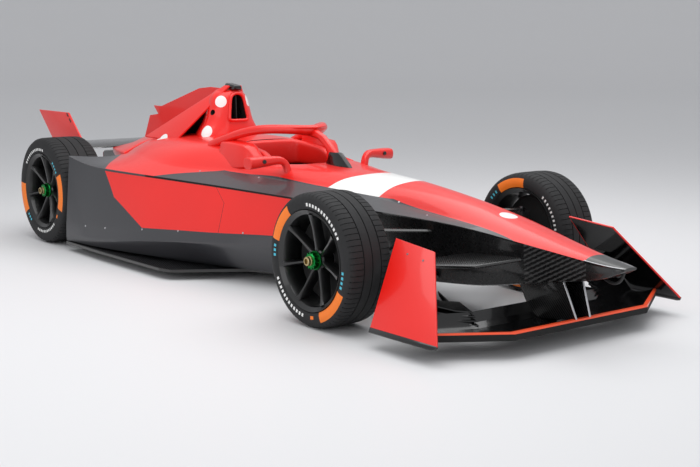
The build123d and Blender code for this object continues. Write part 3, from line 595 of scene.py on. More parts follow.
def draw_marked_deck(m, colour):
    """The deck's strips and band over the roundels."""
    return draw_deck(m, draw_roundels(m, colour))


def draw_cockpit(m, colour):
    """Painted down to the sill's underside and bare black below."""
    z = m.place()[2]
    return m.mix(m.over(z, COCKPIT_PAINT_Z), SILL_BLACK, colour)


RED_PAINT = painted("red_paint", RED)
DECK_PAINT = painted("deck_paint", RED, draw=draw_marked_deck)
TOWER_PAINT = painted("tower_paint", RED, draw=draw_roundels)
COCKPIT_PAINT = painted("cockpit_paint", RED, draw=draw_cockpit)
FLANK_PAINT = painted("flank_paint", RED, draw=draw_flank)
SLATE_PAINT = painted("slate_paint", SLATE, roughness=0.38, coat=0.5)
NOSE_CARBON = nose_carbon("nose_carbon")
FINE_CARBON = carbon("fine_carbon", pitch=0.004, light=rgb(17, 17, 18))
GLOSS_BLACK = painted("gloss_black", rgb(9, 9, 10), roughness=0.16)
# bright metal for screws and the pylons' front edges; the rod along the nose tip's edge uses it as a
# painted highlight
SILVER_AND_HIGHLIGHT = machined("silver_and_highlight", rgb(205, 205, 208), 0.3)
STRIPE_ORANGE = painted("stripe_orange", rgb(250, 84, 40), roughness=0.35)
TYRE_RUBBER = rubber("tyre_rubber")
WALL_ORANGE = sidewall_print("wall_orange", rgb(255, 128, 24))
WALL_WHITE = sidewall_print("wall_white", WHITE)
WALL_CYAN = sidewall_print("wall_cyan", rgb(70, 190, 214))
RIM_BLACK = painted("rim_black", rgb(8, 8, 9), roughness=0.35, coat=0.4)
NUT_GREEN = machined("nut_green", rgb(30, 150, 70))
BRONZE = machined("bronze", rgb(196, 176, 130), 0.35)
ALLOY = machined("alloy", rgb(170, 170, 175), 0.35)
BLACK_CASE = moulded("black_case", rgb(24, 24, 25), 0.55)
MATT_BLACK = moulded("matt_black", rgb(12, 12, 12), 0.8)
LAMP = moulded("lamp_red", rgb(110, 8, 6), 0.2)
SEAT_CLOTH = moulded("seat_cloth", rgb(26, 26, 28), 0.85, grain=1400.0)
WEBBING = moulded("belt_webbing", rgb(30, 30, 32), 0.8, grain=900.0)
SCREEN = painted("screen_glass", rgb(8, 10, 14), roughness=0.08)
BUTTONS = moulded("buttons", rgb(30, 120, 60), 0.4)
MIRROR_GLASS = Nodes("mirror_glass", Metallic=1.0, Roughness=0.03,
                     Base_Color=rgb(210, 214, 218)).material
FOAM_RED = painted("foam_red", RED, roughness=0.45, coat=0.2)

# ---------------------------------------------------------------- tyres
SECTORS = 72
SLIT_ANGLE = radians(0.6)
GROOVE_DEPTH = 0.006
GROOVE_WIDTH = 0.0065
GROOVES = (-0.055, -0.004, 0.046)          # across the tread from its middle, for the width below
GROOVED_WIDTH = 0.26
FRONT_TYRE = dict(radius=0.3265, width=0.260, outer=0.8425)
REAR_TYRE = dict(radius=0.3463, width=0.305, outer=0.836)
BEAD_RADIUS = 0.2425
WALL_RINGS = 6                             # points of a tyre's outline that bound the side wall's rings
# marks on a side wall: first and last sector, inner and outer ring, finish, whether it is dashed
WALL_MARKS = [(7, 15, 1, 4, 1, False), (40, 49, 1, 4, 1, False), (60, 73, 2, 3, 2, True),
              (23, 35, 2, 3, 2, True), (50, 54, 2, 3, 3, True), (16, 19, 2, 3, 3, True),
              (37, 38, 2, 3, 1, False)]
DASH_SHARE = 0.6
MARK_TURN = dict(front=0, rear=10)         # sectors the marks are turned on from the list
INNER_TURN = -8                            # and how many more on the inner walls


def wheel_place(axle, across, side):
    """Matrix that puts a wheel part, made round the Y axis with its outer side at +Y, on its axle."""
    return turned((axle.x, side * across, axle.z), 0.0 if side > 0 else 180.0)


def move_all(bm, matrix):
    """Moves a whole form by a matrix."""
    bmesh.ops.transform(bm, matrix=matrix, verts=bm.verts)


def spin(bm, geom, angle, steps, **options):
    """The spin operator about the Y axis."""
    return bmesh.ops.spin(bm, geom=geom, cent=(0, 0, 0), axis=(0, 1, 0), angle=angle, steps=steps,
                          **options)


def with_verts(edges):
    """Edges and their vertices, each once."""
    return list(dict.fromkeys(edges + [v for e in edges for v in e.verts]))


def push_out(bm, faces, distance):
    """Raises faces away from the Y axis, or sinks them, each with walls of its own."""
    for face in bmesh.ops.extrude_discrete_faces(bm, faces=faces)["faces"]:
        middle = face.calc_center_median()
        step = Vector((middle.x, 0, middle.z)).normalized() * distance
        bmesh.ops.translate(bm, vec=step, verts=face.verts)


def tyre_profile(radius, width):
    """Outline of a tyre from its outer bead over the tread to the inner bead: across, radius."""
    half = width / 2
    shoulder = radius - 0.018
    wall = [(half - 0.022, BEAD_RADIUS), (half - 0.006, BEAD_RADIUS + 0.006),
            (half - 0.001, BEAD_RADIUS + 0.020), (half, BEAD_RADIUS + 0.036),
            (half - 0.003, shoulder - 0.010), (half - 0.010, shoulder + 0.004),
            (half - 0.022, radius - 0.005), (half - 0.040, radius - 0.0015)]
    tread = []
    for groove in reversed(GROOVES):
        middle = groove * width / GROOVED_WIDTH
        for step, drop in ((0.5, 0), (0.42, 1), (-0.42, 1), (-0.5, 0)):
            tread.append((middle + step * GROOVE_WIDTH, radius - drop * GROOVE_DEPTH))
    return wall + tread + [(-y, r) for y, r in reversed(wall)]


def mark_walls(bm, end, profile, half):
    """Gives the printed marks on both side walls their finishes."""
    sector = tau / SECTORS
    for face in bm.faces:
        middle = face.calc_center_median()
        if abs(middle.y) < half - 0.016:
            continue
        outside = middle.y > 0
        turn = MARK_TURN[end] + (0 if outside else INNER_TURN)
        around = (atan2(middle.x if outside else -middle.x, middle.z) / sector - turn) % SECTORS
        number = int(around)
        ring = sum(middle.xz.length > r for y, r in profile[:WALL_RINGS]) - 1
        for first, last, low, high, finish, dashed in WALL_MARKS:
            around_it = first <= number < last or first <= number + SECTORS < last
            if low <= ring < high and around_it and (around - number < DASH_SHARE or not dashed):
                face.material_index = finish


def make_tyre(name, body, radius, width, outer, axle, side):
    """Grooved tyre of one slit sector, repeated round the axle."""
    bm = bmesh.new()
    half = width / 2
    profile = tyre_profile(radius, width)
    edges = ring_edges(bm, [(0, y, r) for y, r in profile])
    slit = spin(bm, with_verts(edges), SLIT_ANGLE, 1)
    slit_faces = list(bm.faces)
    spin(bm, slit["geom_last"], tau / SECTORS - SLIT_ANGLE, 2)
    rib = GROOVES[-1] * width / GROOVED_WIDTH + GROOVE_WIDTH
    middles = [(face, face.calc_center_median()) for face in slit_faces]
    push_out(bm, [face for face, middle in middles
                  if rib < abs(middle.y) < half * 0.96 and middle.xz.length > radius - 0.02],
             -GROOVE_DEPTH)
    spin(bm, everything(bm), tau, SECTORS, use_duplicate=True)
    bmesh.ops.remove_doubles(bm, verts=bm.verts, dist=0.00005)
    mark_walls(bm, name.split("_")[0], profile, half)
    move_all(bm, wheel_place(axle, outer - half, side))
    finish_piece(bm, f"{name}_carcass", "tyre", [TYRE_RUBBER, WALL_ORANGE, WALL_WHITE, WALL_CYAN],
                 smooth=30, replaces=[f"{name}_tyre"], body=body)


# ---------------------------------------------------------------- wheels
RIM_SEAT = 0.2286
RIM_WALL = 0.006
SPOKES = 7
SPOKE_FACE = 0.052                         # from the tyre's outer side in to the hub's face
# spoke: distance out, half width ahead and behind, its front and back from the hub's face
SPOKE_ROWS = [(0.030, 0.013, 0.020, 0, -0.050), (0.065, 0.0065, 0.015, 0.004, -0.050),
              (0.150, 0.0060, 0.012, 0.020, -0.030), (0.195, 0.0075, 0.014, 0.034, -0.016),
              (0.222, 0.0120, 0.024, 0.042, -0.008)]
# rings spun round the axle: place from the hub's face, radius
HUB = [(-0.07, 0.0), (-0.07, 0.052), (-0.01, 0.052), (-0.002, 0.046), (0.002, 0.036), (0.002, 0.0)]
NUT = [(0.002, 0.024), (0.002, 0.045), (0.007, 0.047), (0.012, 0.045), (0.013, 0.037),
       (0.034, 0.035), (0.038, 0.032), (0.038, 0.024)]
SPIGOT = [(0.002, 0.024), (0.044, 0.024), (0.046, 0.022), (0.058, 0.0215), (0.060, 0.019),
          (0.060, 0.013), (0.046, 0.012), (0.046, 0.0)]
NUT_STEPS = 48
FLUTE_HEIGHT = 0.006


def spin_profile(bm, points, steps, start=0.0):
    """Spins a chain of (along the axle, radius) points about the axle, along counted from start."""
    edges = ring_edges(bm, [(0, start + y, r) for y, r in points])
    spin(bm, with_verts(edges), tau, steps, use_merge=True)
    bmesh.ops.remove_doubles(bm, verts=bm.verts, dist=0.00005)


def make_rim(name, body, radius, width, outer, axle, side):
    """Barrel with rolled lips and deep slim spokes."""
    bm = bmesh.new()
    half = width / 2
    lip = half - 0.006
    barrel = [(lip, BEAD_RADIUS - 0.004), (lip + 0.004, BEAD_RADIUS + 0.001),
              (lip, BEAD_RADIUS + 0.003), (lip - 0.012, BEAD_RADIUS - 0.002),
              (lip - 0.014, RIM_SEAT), (-lip + 0.014, RIM_SEAT),
              (-lip, BEAD_RADIUS + 0.003), (-lip - 0.004, BEAD_RADIUS + 0.001),
              (-lip + 0.012, RIM_SEAT - RIM_WALL), (0.02, RIM_SEAT - 0.02),
              (lip - 0.035, RIM_SEAT - 0.016), (lip - 0.012, RIM_SEAT - RIM_WALL),
              (lip, BEAD_RADIUS - 0.004)]
    spin_profile(bm, barrel, 96)
    face = half - SPOKE_FACE
    for number in range(SPOKES):
        turn = Matrix.Rotation(tau * number / SPOKES, 4, "Y")
        rings = []
        for out, front, back, near, far in SPOKE_ROWS:
            near, far = face + near, face + far
            section = [(-back, far, out), (-front * 1.25, near - 0.006, out),
                       (-front * 0.7, near, out)]
            rings.append([turn @ Vector(point) for point in with_mirror(section)])
        loft_rings(bm, rings, caps=False)
    spin_profile(bm, HUB, 48, face)
    move_all(bm, wheel_place(axle, outer - half, side))
    finish_piece(bm, f"{name}_wheel", "rim_black", [RIM_BLACK], 28, [f"{name}_rim"], body)


def make_nut(name, body, radius, width, outer, axle, side):
    """Anodised lock nut with flutes, and the bronze spigot in it."""
    face = width / 2 - SPOKE_FACE
    place = wheel_place(axle, outer - width / 2, side)
    bm = bmesh.new()
    spin_profile(bm, NUT, NUT_STEPS, face)
    flutes = []
    for part in bm.faces:
        x, y, z = part.calc_center_median()
        step = int((atan2(x, z) % tau) / tau * NUT_STEPS)
        if face + 0.013 < y < face + 0.034 and step % 4 < 2 and Vector((x, z)).length > 0.03:
            flutes.append(part)
    push_out(bm, flutes, FLUTE_HEIGHT)
    move_all(bm, place)
    finish_piece(bm, f"{name}_lock_nut", "nut_green", [NUT_GREEN], 30, [f"{name}_nut"], body)
    bm = bmesh.new()
    spin_profile(bm, SPIGOT, 40, face)
    move_all(bm, place)
    finish_piece(bm, f"{name}_spigot", "alloy", [BRONZE], 30, body=body)


for side_name, side in SIDES:
    for end, sizes, axle in (("front", FRONT_TYRE, FRONT_AXLE), ("rear", REAR_TYRE, REAR_AXLE)):
        for make in (make_tyre, make_rim, make_nut):
            make(f"{end}_{side_name}", f"wheel_{end}_{side_name}", **sizes, axle=axle, side=side)

# ---------------------------------------------------------------- bodywork
# half sections from the nose tip back: x, top z, then y and z of the rim, crest, shelf, chine, foot,
# ridge and base
BODY = [
    (1.238, 0.3945, 0.02, 0.3935, 0.034, 0.391, 0.038, 0.39, 0.042, 0.389, 0.041, 0.384, 0.038,
     0.381, 0.03, 0.379),
    (1.12, 0.41, 0.042, 0.407, 0.062, 0.399, 0.066, 0.396, 0.069, 0.393, 0.064, 0.352, 0.058,
     0.322, 0.045, 0.318),
    (0.914, 0.443, 0.062, 0.436, 0.09, 0.424, 0.094, 0.4205, 0.098, 0.417, 0.091, 0.33, 0.09,
     0.291, 0.07, 0.286),
    (0.614, 0.507, 0.095, 0.496, 0.148, 0.467, 0.154, 0.461, 0.16, 0.455, 0.148, 0.29, 0.138,
     0.232, 0.11, 0.225),
    (0.435, 0.546, 0.098, 0.531, 0.15, 0.491, 0.173, 0.4855, 0.196, 0.48, 0.18, 0.27, 0.165, 0.2,
     0.13, 0.19),
    (0.19, 0.59, 0.1, 0.568, 0.155, 0.509, 0.203, 0.503, 0.25, 0.497, 0.225, 0.27, 0.2, 0.182,
     0.15, 0.172),
    (-0.128, 0.628, 0.107, 0.602, 0.165, 0.534, 0.232, 0.518, 0.298, 0.502, 0.265, 0.275, 0.24,
     0.175, 0.2, 0.15),
    (-0.31, 0.64, 0.125, 0.616, 0.19, 0.553, 0.263, 0.53, 0.336, 0.507, 0.315, 0.29, 0.285, 0.175,
     0.24, 0.12),
    (-0.72, 0.648, 0.18, 0.63, 0.262, 0.577, 0.342, 0.548, 0.423, 0.519, 0.45, 0.31, 0.44, 0.25,
     0.34, 0.062),
    (-1.045, 0.662, 0.272, 0.655, 0.335, 0.587, 0.412, 0.558, 0.49, 0.528, 0.56, 0.285, 0.565,
     0.222, 0.42, 0.062),
    (-1.35, 0.664, 0.305, 0.66, 0.372, 0.596, 0.464, 0.566, 0.556, 0.536, 0.64, 0.265, 0.655,
     0.205, 0.545, 0.062),
    (-1.43, 0.735, 0.312, 0.732, 0.392, 0.598, 0.483, 0.568, 0.573, 0.537, 0.658, 0.262, 0.672,
     0.2, 0.57, 0.062),
    (-1.6, 0.765, 0.35, 0.742, 0.46, 0.594, 0.535, 0.568, 0.61, 0.541, 0.695, 0.25, 0.712, 0.185,
     0.64, 0.062),
    (-1.85, 0.775, 0.398, 0.735, 0.56, 0.6, 0.611, 0.573, 0.662, 0.545, 0.755, 0.235, 0.775, 0.16,
     0.715, 0.062),
    (-2.245, 0.762, 0.4, 0.722, 0.52, 0.64, 0.632, 0.596, 0.745, 0.551, 0.805, 0.2, 0.822, 0.112,
     0.8, 0.062),
    (-2.42, 0.755, 0.355, 0.7, 0.45, 0.625, 0.57, 0.574, 0.772, 0.562, 0.822, 0.188, 0.832, 0.102,
     0.815, 0.062),
    (-2.54, 0.748, 0.315, 0.678, 0.42, 0.608, 0.55, 0.572, 0.795, 0.588, 0.832, 0.178, 0.838,
     0.095, 0.828, 0.062),
    (-2.6, 0.742, 0.288, 0.664, 0.4, 0.6, 0.55, 0.58, 0.81, 0.607, 0.838, 0.172, 0.84, 0.092,
     0.836, 0.062),
]
LIP = (0.004, 0.006)                       # edge of the deck: in and down from the chine
NOSE_JOINT = 0.435
COVER_JOINT = -1.600
CELL_REACH = -0.60                         # in front of here the side under the deck is bare carbon
SHADOW_LINE = (-1.86, -0.12)               # the strip under the deck's edge is matt black between these, a painted shadow where the deck stands over the side
CROWN_REAR = -1.20                         # ahead of here the top is one smooth crown
RING_NAMES = ("top", "rim", "crest", "shelf", "chine", "lip", "foot", "ridge", "base")
CREASES = dict(crest=0.75, chine=0.9, lip=0.9, foot=0.75, ridge=0.75, base=0.95)
COCKPIT_ENDS = (-0.975, -1.560)
COCKPIT_HALF = 0.232
COCKPIT_CORNERS = (0.14, 0.11)             # corner radius at the front and at the rear
COCKPIT_HEIGHTS = (0.118, 1.2)             # the floor, and a height over everything
# numbers of the shell's finishes
DECK, SLATE_DECK, FLANK, SLATE_SIDE, CARBON_SIDE, SHADOW = range(6)
BODY_FINISHES = [DECK_PAINT, SLATE_PAINT, FLANK_PAINT, SLATE_PAINT, NOSE_CARBON, MATT_BLACK,
                 COCKPIT_PAINT]
PANELS = {"nose_skin": ["nose"], "cell_skin": ["survival_cell", "footwell_shell"],
          "cover_skin": ["engine_cover"], "flank_left": ["sidepod_left"],
          "flank_right": ["sidepod_right"]}


def body_ring(x, top, *places):
    """Closed ring of one section, starting at the top and going down the left side.

    Rounding pulls a surface inside its cage, so the crown's cage stands out over the given section.
    """
    half = pairs(places)
    if x > CROWN_REAR:
        (rim_y, rim_z), (crest_y, crest_z) = half[:2]
        cage_z = (6 * rim_z - crest_z - 1.5 * top) / 3.5
        half[0] = ((6 * rim_y - crest_y) / 4, cage_z)
        top = (6 * top - 2 * cage_z) / 4
    chine = half[3]
    half.insert(4, (chine[0] - LIP[0], chine[1] - LIP[1]))
    ring = with_mirror([(0.0, top), *half, (0.0, half[-1][1])], skip=(1, 1))
    return [at(x, y, z) for y, z in ring]


def body_finish(first_ring, x):
    """Finish of the strip that starts at a ring name, at a place along the body."""
    if first_ring in ("top", "rim", "crest", "shelf"):
        return DECK
    if first_ring == "chine" and SHADOW_LINE[0] < x < SHADOW_LINE[1]:
        return SHADOW
    if (first_ring == "chine" and x >= CELL_REACH) or x > CELL_REACH:
        return CARBON_SIDE
    return FLANK if first_ring == "lip" else SLATE_SIDE


def rounded_outline(front, rear, half, corners, steps=8):
    """Plan outline with rounded corners, front to the left side first."""
    points = []
    for sign_x, sign_y, quarter in ((1, 1, 0), (-1, 1, 1), (-1, -1, 2), (1, -1, 3)):
        radius = corners[0] if sign_x > 0 else corners[1]
        x = front - radius if sign_x > 0 else rear + radius
        for step in range(steps + 1):
            angle = (quarter + step / steps) * pi / 2
            y = sign_y * (half - radius) + radius * sin(angle)
            points.append((x + radius * cos(angle), y))
    return points


def make_body():
    """The whole outer body as one rounded shell, opened at the cockpit and parted at its joints."""
    bm = bmesh.new()
    crease = bm.edges.layers.float.new("crease_edge")
    loops = [ring_edges(bm, body_ring(*row), closed=True) for row in BODY]
    outlines = [[loop[0].verts[0]] + [edge.verts[1] for edge in loop[:-1]] for loop in loops]
    names = [*RING_NAMES, "keel", *reversed(RING_NAMES[1:])]
    ring_of = {vert: name for outline in outlines for vert, name in zip(outline, names)}
    for first, second in zip(loops, loops[1:]):
        for face in bmesh.ops.bridge_loops(bm, edges=first + second)["faces"]:
            kinds = {ring_of[vert] for vert in face.verts}
            first_ring = next(kind for kind in RING_NAMES if kind in kinds)
            middle = face.calc_center_median().x - FRONT_AXLE.x
            face.material_index = body_finish(first_ring, middle)
    for outline, finish in ((outlines[0], DECK), (outlines[-1], CARBON_SIDE)):
        cap = bm.faces.new(outline)
        cap.material_index = finish
        for edge in cap.edges:
            edge[crease] = 1.0
    for edge in bm.edges:
        first, second = (ring_of[vert] for vert in edge.verts)
        if first == second and first in CREASES:
            edge[crease] = max(edge[crease], CREASES[first])
    bmesh.ops.recalc_face_normals(bm, faces=bm.faces)
    shell = as_object(bm, "body_shell", BODY_FINISHES)
    add_subdivision(shell, 3)
    bake_modifiers(shell)
    floor, over_all = COCKPIT_HEIGHTS
    opening = rounded_outline(*COCKPIT_ENDS, COCKPIT_HALF, COCKPIT_CORNERS)
    cut_away(shell, slab([at(x, y, floor) for x, y in opening], (0, 0, over_all - floor)),
             COCKPIT_PAINT)
    part_body(shell)


def piece_of(face):
    """Which panel a face of the whole body belongs to."""
    middle = face.calc_center_median()
    x = middle.x - FRONT_AXLE.x
    if x > NOSE_JOINT:
        return "nose_skin"
    if face.material_index in (DECK, SLATE_DECK) and x < COVER_JOINT:
        return "cover_skin"
    if face.material_index in (FLANK, SLATE_SIDE, SHADOW) and x < CELL_REACH:
        return "flank_left" if middle.y > 0 else "flank_right"
    return "cell_skin"


def part_body(shell):
    """Parts the shell into its panels, each a piece of its own."""
    for name, nodes in PANELS.items():
        bm = bmesh.new()
        bm.from_mesh(shell.data)
        for joint in (NOSE_JOINT, COVER_JOINT):
            bmesh.ops.bisect_plane(bm, geom=everything(bm), dist=1e-6, plane_co=at(joint, 0, 0),
                                   plane_no=(1, 0, 0))
        others = [face for face in bm.faces if piece_of(face) != name]
        bmesh.ops.delete(bm, geom=others, context="FACES")
        finish_piece(bm, name, "red_paint", BODY_FINISHES, 28, nodes, recalc=False)
    bpy.data.objects.remove(shell)


make_body()

# ---------------------------------------------------------------- airbox tower and buttresses
# z, front x, rear x, half width of the intake's rim and of the flanks behind it
TOWER = [(0.7, -1.862, -2.34, 0.09, 0.235), (0.76, -1.866, -2.26, 0.085, 0.215),
         (0.8, -1.87, -2.225, 0.08, 0.19), (0.845, -1.875, -2.195, 0.078, 0.158),
         (0.9, -1.88, -2.15, 0.074, 0.146), (0.96, -1.886, -2.1, 0.067, 0.132),
         (1.003, -1.89, -2.07, 0.055, 0.112), (1.027, -1.896, -2.055, 0.036, 0.074),
         (1.038, -1.91, -2.045, 0.018, 0.038)]
# how far back of the front and how far from the rim's to the flank's half width, round each row
TOWER_SWEEP = [(0.0, -0.45), (0.003, -0.05), (0.018, 0.25), (0.04, 0.68), (0.075, 1.0),
               (0.145, 0.98)]
TOWER_TAIL = 0.42                          # share of the half width at the rear edge
# half of the intake's outline, from its lower corner up to its crown: y and z
MOUTH = [(0.066, 0.85), (0.06, 0.885), (0.054, 0.925), (0.048, 0.965), (0.042, 0.985), (0.03, 1.0),
         (0.014, 1.007)]
MOUTH_DEPTH = 0.16
MOUTH_START = 0.02                         # how far ahead of the tower the cut begins
HOIST = (-1.952, 0.894, 0.017)             # x, z and radius of the cross bore
# corners of a buttress's outer face and of the matt black sheet inside it, a painted shade for the dark
# gap between buttress and tower
BUTTRESS = [(-1.906, 0.046, 1.062), (-1.958, 0.046, 1.062), (-2.530, 0.300, 0.712),
            (-2.143, 0.300, 0.712)]
BUTTRESS_T = 0.014
SHADE_SHEET = [(-2.085, 0.11, 0.905), (-2.29, 0.285, 0.7), (-2.29, 0.08, 0.7), (-2.14, 0.05, 0.8)]
SHADE_SHEET_T = 0.004


def tower_ring(z, front, rear, rim, half):
    """Closed outline of the tower at one height."""
    outline = []
    for back, share in TOWER_SWEEP:
        width = rim * (1 + share) if share < 0 else rim + share * (half - rim)
        outline.append((front - back, width))
    outline.append((rear, half * TOWER_TAIL))
    return [at(x, y, z) for x, y in with_mirror(outline, 1)]


def make_tower():
    """Airbox tower, hollowed at its mouth and bored across."""
    tower = finish_piece(lofted([tower_ring(*row) for row in TOWER]), "airbox_tower", "red_paint",
                         [TOWER_PAINT, MATT_BLACK])
    add_subdivision(tower, 2)
    bake_modifiers(tower)
    start = TOWER[0][1] + MOUTH_START
    mouth = [at(start, y, z) for y, z in with_mirror(MOUTH)]
    cut_away(tower, slab(mouth, (-MOUTH_DEPTH - MOUTH_START, 0, 0)), MATT_BLACK)
    x, z, radius = HOIST
    cut_away(tower, stud(turned(at(x, 0, z), 90, "X"), radius, radius, 0.6, 32), MATT_BLACK)


def make_buttresses():
    """Struts from the tower's head down to the deck, and matt black sheets inside them that stand for
    the shade in the gap by the tower.
    """
    for name, side in SIDES:
        bm = bmesh.new()
        face = outline_face(bm, on_side(BUTTRESS, side))
        face.normal_update()
        extrude_face(bm, face, face.normal * (-BUTTRESS_T if face.normal.z > 0 else BUTTRESS_T))
        bevel_all(bm, 0.004, 3)
        finish_piece(bm, f"buttress_{name}", "red_paint", [DECK_PAINT])
        # matt black sheet standing for the shade between the buttress and the tower
        bm = slab(on_side(SHADE_SHEET, side), (-SHADE_SHEET_T, 0, 0))
        finish_piece(bm, f"duct_wall_{name}", "black_case", [MATT_BLACK])


make_tower()
make_buttresses()

# ---------------------------------------------------------------- front wing
# share of the chord from the leading edge, height of the top and of the underside
WING_PROFILE = [(0.0, 0.112, 0.088), (0.012, 0.1195, 0.0815), (0.09, 0.1185, 0.0765),
                (0.2, 0.108, 0.0765), (0.42, 0.091, 0.0765), (0.64, 0.084, 0.0765),
                (0.8, 0.089, 0.0775), (0.91, 0.109, 0.096), (1.0, 0.154, 0.147)]
# stations of the plane: y, front x, rear x
WING_PLAN = [(0.0, 0.99, 0.69), (0.452, 0.99, 0.69), (0.474, 0.975, 0.68), (0.802, 0.768, 0.566)]
TIP_DRAW, TIP_DRAW_Z = 0.82, 0.118         # the tips are drawn in over this height, under the plates
STRIPE_REACH = 0.031                       # the painted stripe's depth behind the leading edge
STRIPE_LOW = 0.112
# corners of a pylon's inner face
PYLON = [(0.986, 0.040, 0.114), (0.915, 0.058, 0.285), (0.628, 0.058, 0.250), (0.712, 0.040, 0.080)]
PYLON_T = 0.012
PYLON_RAKE = 0.415
# side outline of the fence: x and z
FENCE = [(0.712, 0.078), (0.692, 0.154), (0.6, 0.15), (0.535, 0.182), (0.47, 0.212), (0.48, 0.19),
         (0.6, 0.085)]
FENCE_PLACE = 0.430
FENCE_T = 0.006
# slats: front, height and chord at the fence, and y of the outer end under the leaning end plate
SLATS = [(0.745, 0.098, 0.060, 0.768), (0.735, 0.116, 0.058, 0.742), (0.722, 0.134, 0.058, 0.716),
         (0.705, 0.152, 0.060, 0.690)]
SLAT_RISE = 0.075                          # from the fence to the end plate
SLAT_SWEEP = 0.185
# outline of a slat: distance back, share of the chord back, height
SLAT_RING = [(0, 0, 0), (0.004, 0, 0.004), (0, 0.5, 0.011), (0, 1.5, 0.034), (0, 1.5, 0.031),
             (0, 0.5, 0.004), (0.004, 0, -0.003)]
PLATE_LEAN = ((0.594, 0.463), (0.8425, 0.075))     # y, z of the upper and lower edge, outer face
# x, and share of the way from the upper to the lower edge
PLATE_OUTLINE = [(0.352, 0.0), (0.632, 0.057), (0.893, 0.92), (0.9, 0.95), (0.894, 0.978),
                 (0.872, 0.99), (0.463, 1.0)]
PLATE_FOOT = [(0.456, 0.95), (0.898, 0.944), (0.901, 0.953), (0.895, 0.98), (0.873, 0.993),
              (0.462, 1.003)]
PLATE_SCREWS = ((0.475, 0.14), (0.590, 0.17))
PLATE_T = 0.009
PLATE_SKIN = 0.001                         # how far the foot's edging and the screws stand out


def leading_edge(y):
    """Place of the wing's leading edge at a place across."""
    for (y0, front0, rear0), (y1, front1, rear1) in zip(WING_PLAN, WING_PLAN[1:]):
        if y0 <= abs(y) <= y1:
            return front0 + (front1 - front0) * (abs(y) - y0) / (y1 - y0)
    return WING_PLAN[-1][1]


def make_wing():
    """Main plane with a painted leading edge."""
    rings = []
    for y, front, rear in [(-y, *ends) for y, *ends in reversed(WING_PLAN)] + WING_PLAN[1:]:
        chord = front - rear
        ring = [(front - share * chord, top) for share, top, low in WING_PROFILE]
        ring += [(front - share * chord, low) for share, top, low in reversed(WING_PROFILE)]
        drawn_in = TIP_DRAW if abs(y) == WING_PLAN[-1][0] else 0.0
        rings.append([at(x, y * (1 - drawn_in * max(0.0, z - TIP_DRAW_Z)), z) for x, z in ring])
    bm = lofted(rings)
    bmesh.ops.recalc_face_normals(bm, faces=bm.faces)
    for face in bm.faces:
        middle = face.calc_center_median()
        ahead = middle.x - FRONT_AXLE.x > leading_edge(middle.y) - STRIPE_REACH
        on_top = len(face.verts) == 4 and middle.z > STRIPE_LOW and face.calc_area() < 0.03
        if ahead and on_top:
            face.material_index = 1
        elif face.normal.z < 0.2:
            face.material_index = 2
    finish_piece(bm, "wing_plane", "carbon", [GLOSS_BLACK, STRIPE_ORANGE, MATT_BLACK], 24,
                 ["front_wing"])


def make_pylons():
    """The two pylons that the plane hangs from, with bright front edges."""
    bm = bmesh.new()
    for name, side in SIDES:
        extrude_face(bm, outline_face(bm, on_side(PYLON, side)), (0, side * PYLON_T, 0))
    bevel_all(bm, 0.003, 3)
    front, across, foot = PYLON[0]
    for face in bm.faces:
        middle = face.calc_center_median()
        edge = front - (middle.z - foot) * PYLON_RAKE - 0.005
        if face.calc_area() < 0.0016 and middle.x - FRONT_AXLE.x > edge:
            face.material_index = 1
    finish_piece(bm, "wing_pylons", "carbon", [FINE_CARBON, SILVER_AND_HIGHLIGHT])


def make_flaps(name, side):
    """Fence and the stack of slats between it and the end plate."""
    bm = side_plate(FENCE, side * FENCE_PLACE, side * FENCE_T, width=0.0015)
    for number, (front, z, chord, reach) in enumerate(SLATS):
        rings = []
        for share in (0.0, 0.25, 0.6, 1.0):
            y = side * (FENCE_PLACE + share * (reach - FENCE_PLACE))
            edge = front - share * SLAT_SWEEP
            height = z + share ** 2 * SLAT_RISE * (0.5 + number * 0.25)
            rings.append([at(edge - back - part * chord, y, height + up)
                          for back, part, up in SLAT_RING])
        loft_rings(bm, rings)
    finish_piece(bm, f"wing_flaps_{name}", "carbon", [GLOSS_BLACK], 30,
                 ["front_flaps"] if side > 0 else ())


def plate_point(x, share, side, depth=0.0):
    """A point on an end plate's outer face, or under it by a depth."""
    (top_y, top_z), (low_y, low_z) = PLATE_LEAN
    run = Vector((low_y - top_y, low_z - top_z)).normalized()
    y = top_y + (low_y - top_y) * share + run.y * depth
    z = top_z + (low_z - top_z) * share - run.x * depth
    return at(x, side * y, z)


def make_end_plate(name, side):
    """Leaning end plate: painted outside and round its edge, bare black inside, with two screws."""
    step = plate_point(0.6, 0.5, side, PLATE_T) - plate_point(0.6, 0.5, side)
    outer = [plate_point(x, share, side) for x, share in PLATE_OUTLINE]
    bm = slab(outer, step, width=0.002, segments=3)
    bmesh.ops.recalc_face_normals(bm, faces=bm.faces)
    largest = sorted(bm.faces, key=lambda face: -face.calc_area())[:2]
    inner = min(largest, key=lambda face: abs(face.calc_center_median().y))
    bmesh.ops.inset_region(bm, faces=[inner], thickness=0.004, depth=-0.0005)
    inner.material_index = 1
    finish_piece(bm, f"end_plate_{name}", "red_paint", [RED_PAINT, GLOSS_BLACK], 35,
                 [f"front_end_plate_{name}"])
    foot = [plate_point(x, share, side, -PLATE_SKIN) for x, share in PLATE_FOOT]
    bm = slab(foot, step * (1 + 2 * PLATE_SKIN / PLATE_T), width=0.001)
    finish_piece(bm, f"plate_foot_{name}", "carbon", [GLOSS_BLACK], 35)
    bm = bmesh.new()
    for x, share in PLATE_SCREWS:
        add_stud(bm, facing(plate_point(x, share, side, -PLATE_SKIN), -step), 0.0055, 0.0045, 0.003)
    finish_piece(bm, f"plate_screws_{name}", "alloy", [ALLOY], 30)


make_wing()
make_pylons()
for side_name, side in SIDES:
    make_flaps(side_name, side)
    make_end_plate(side_name, side)
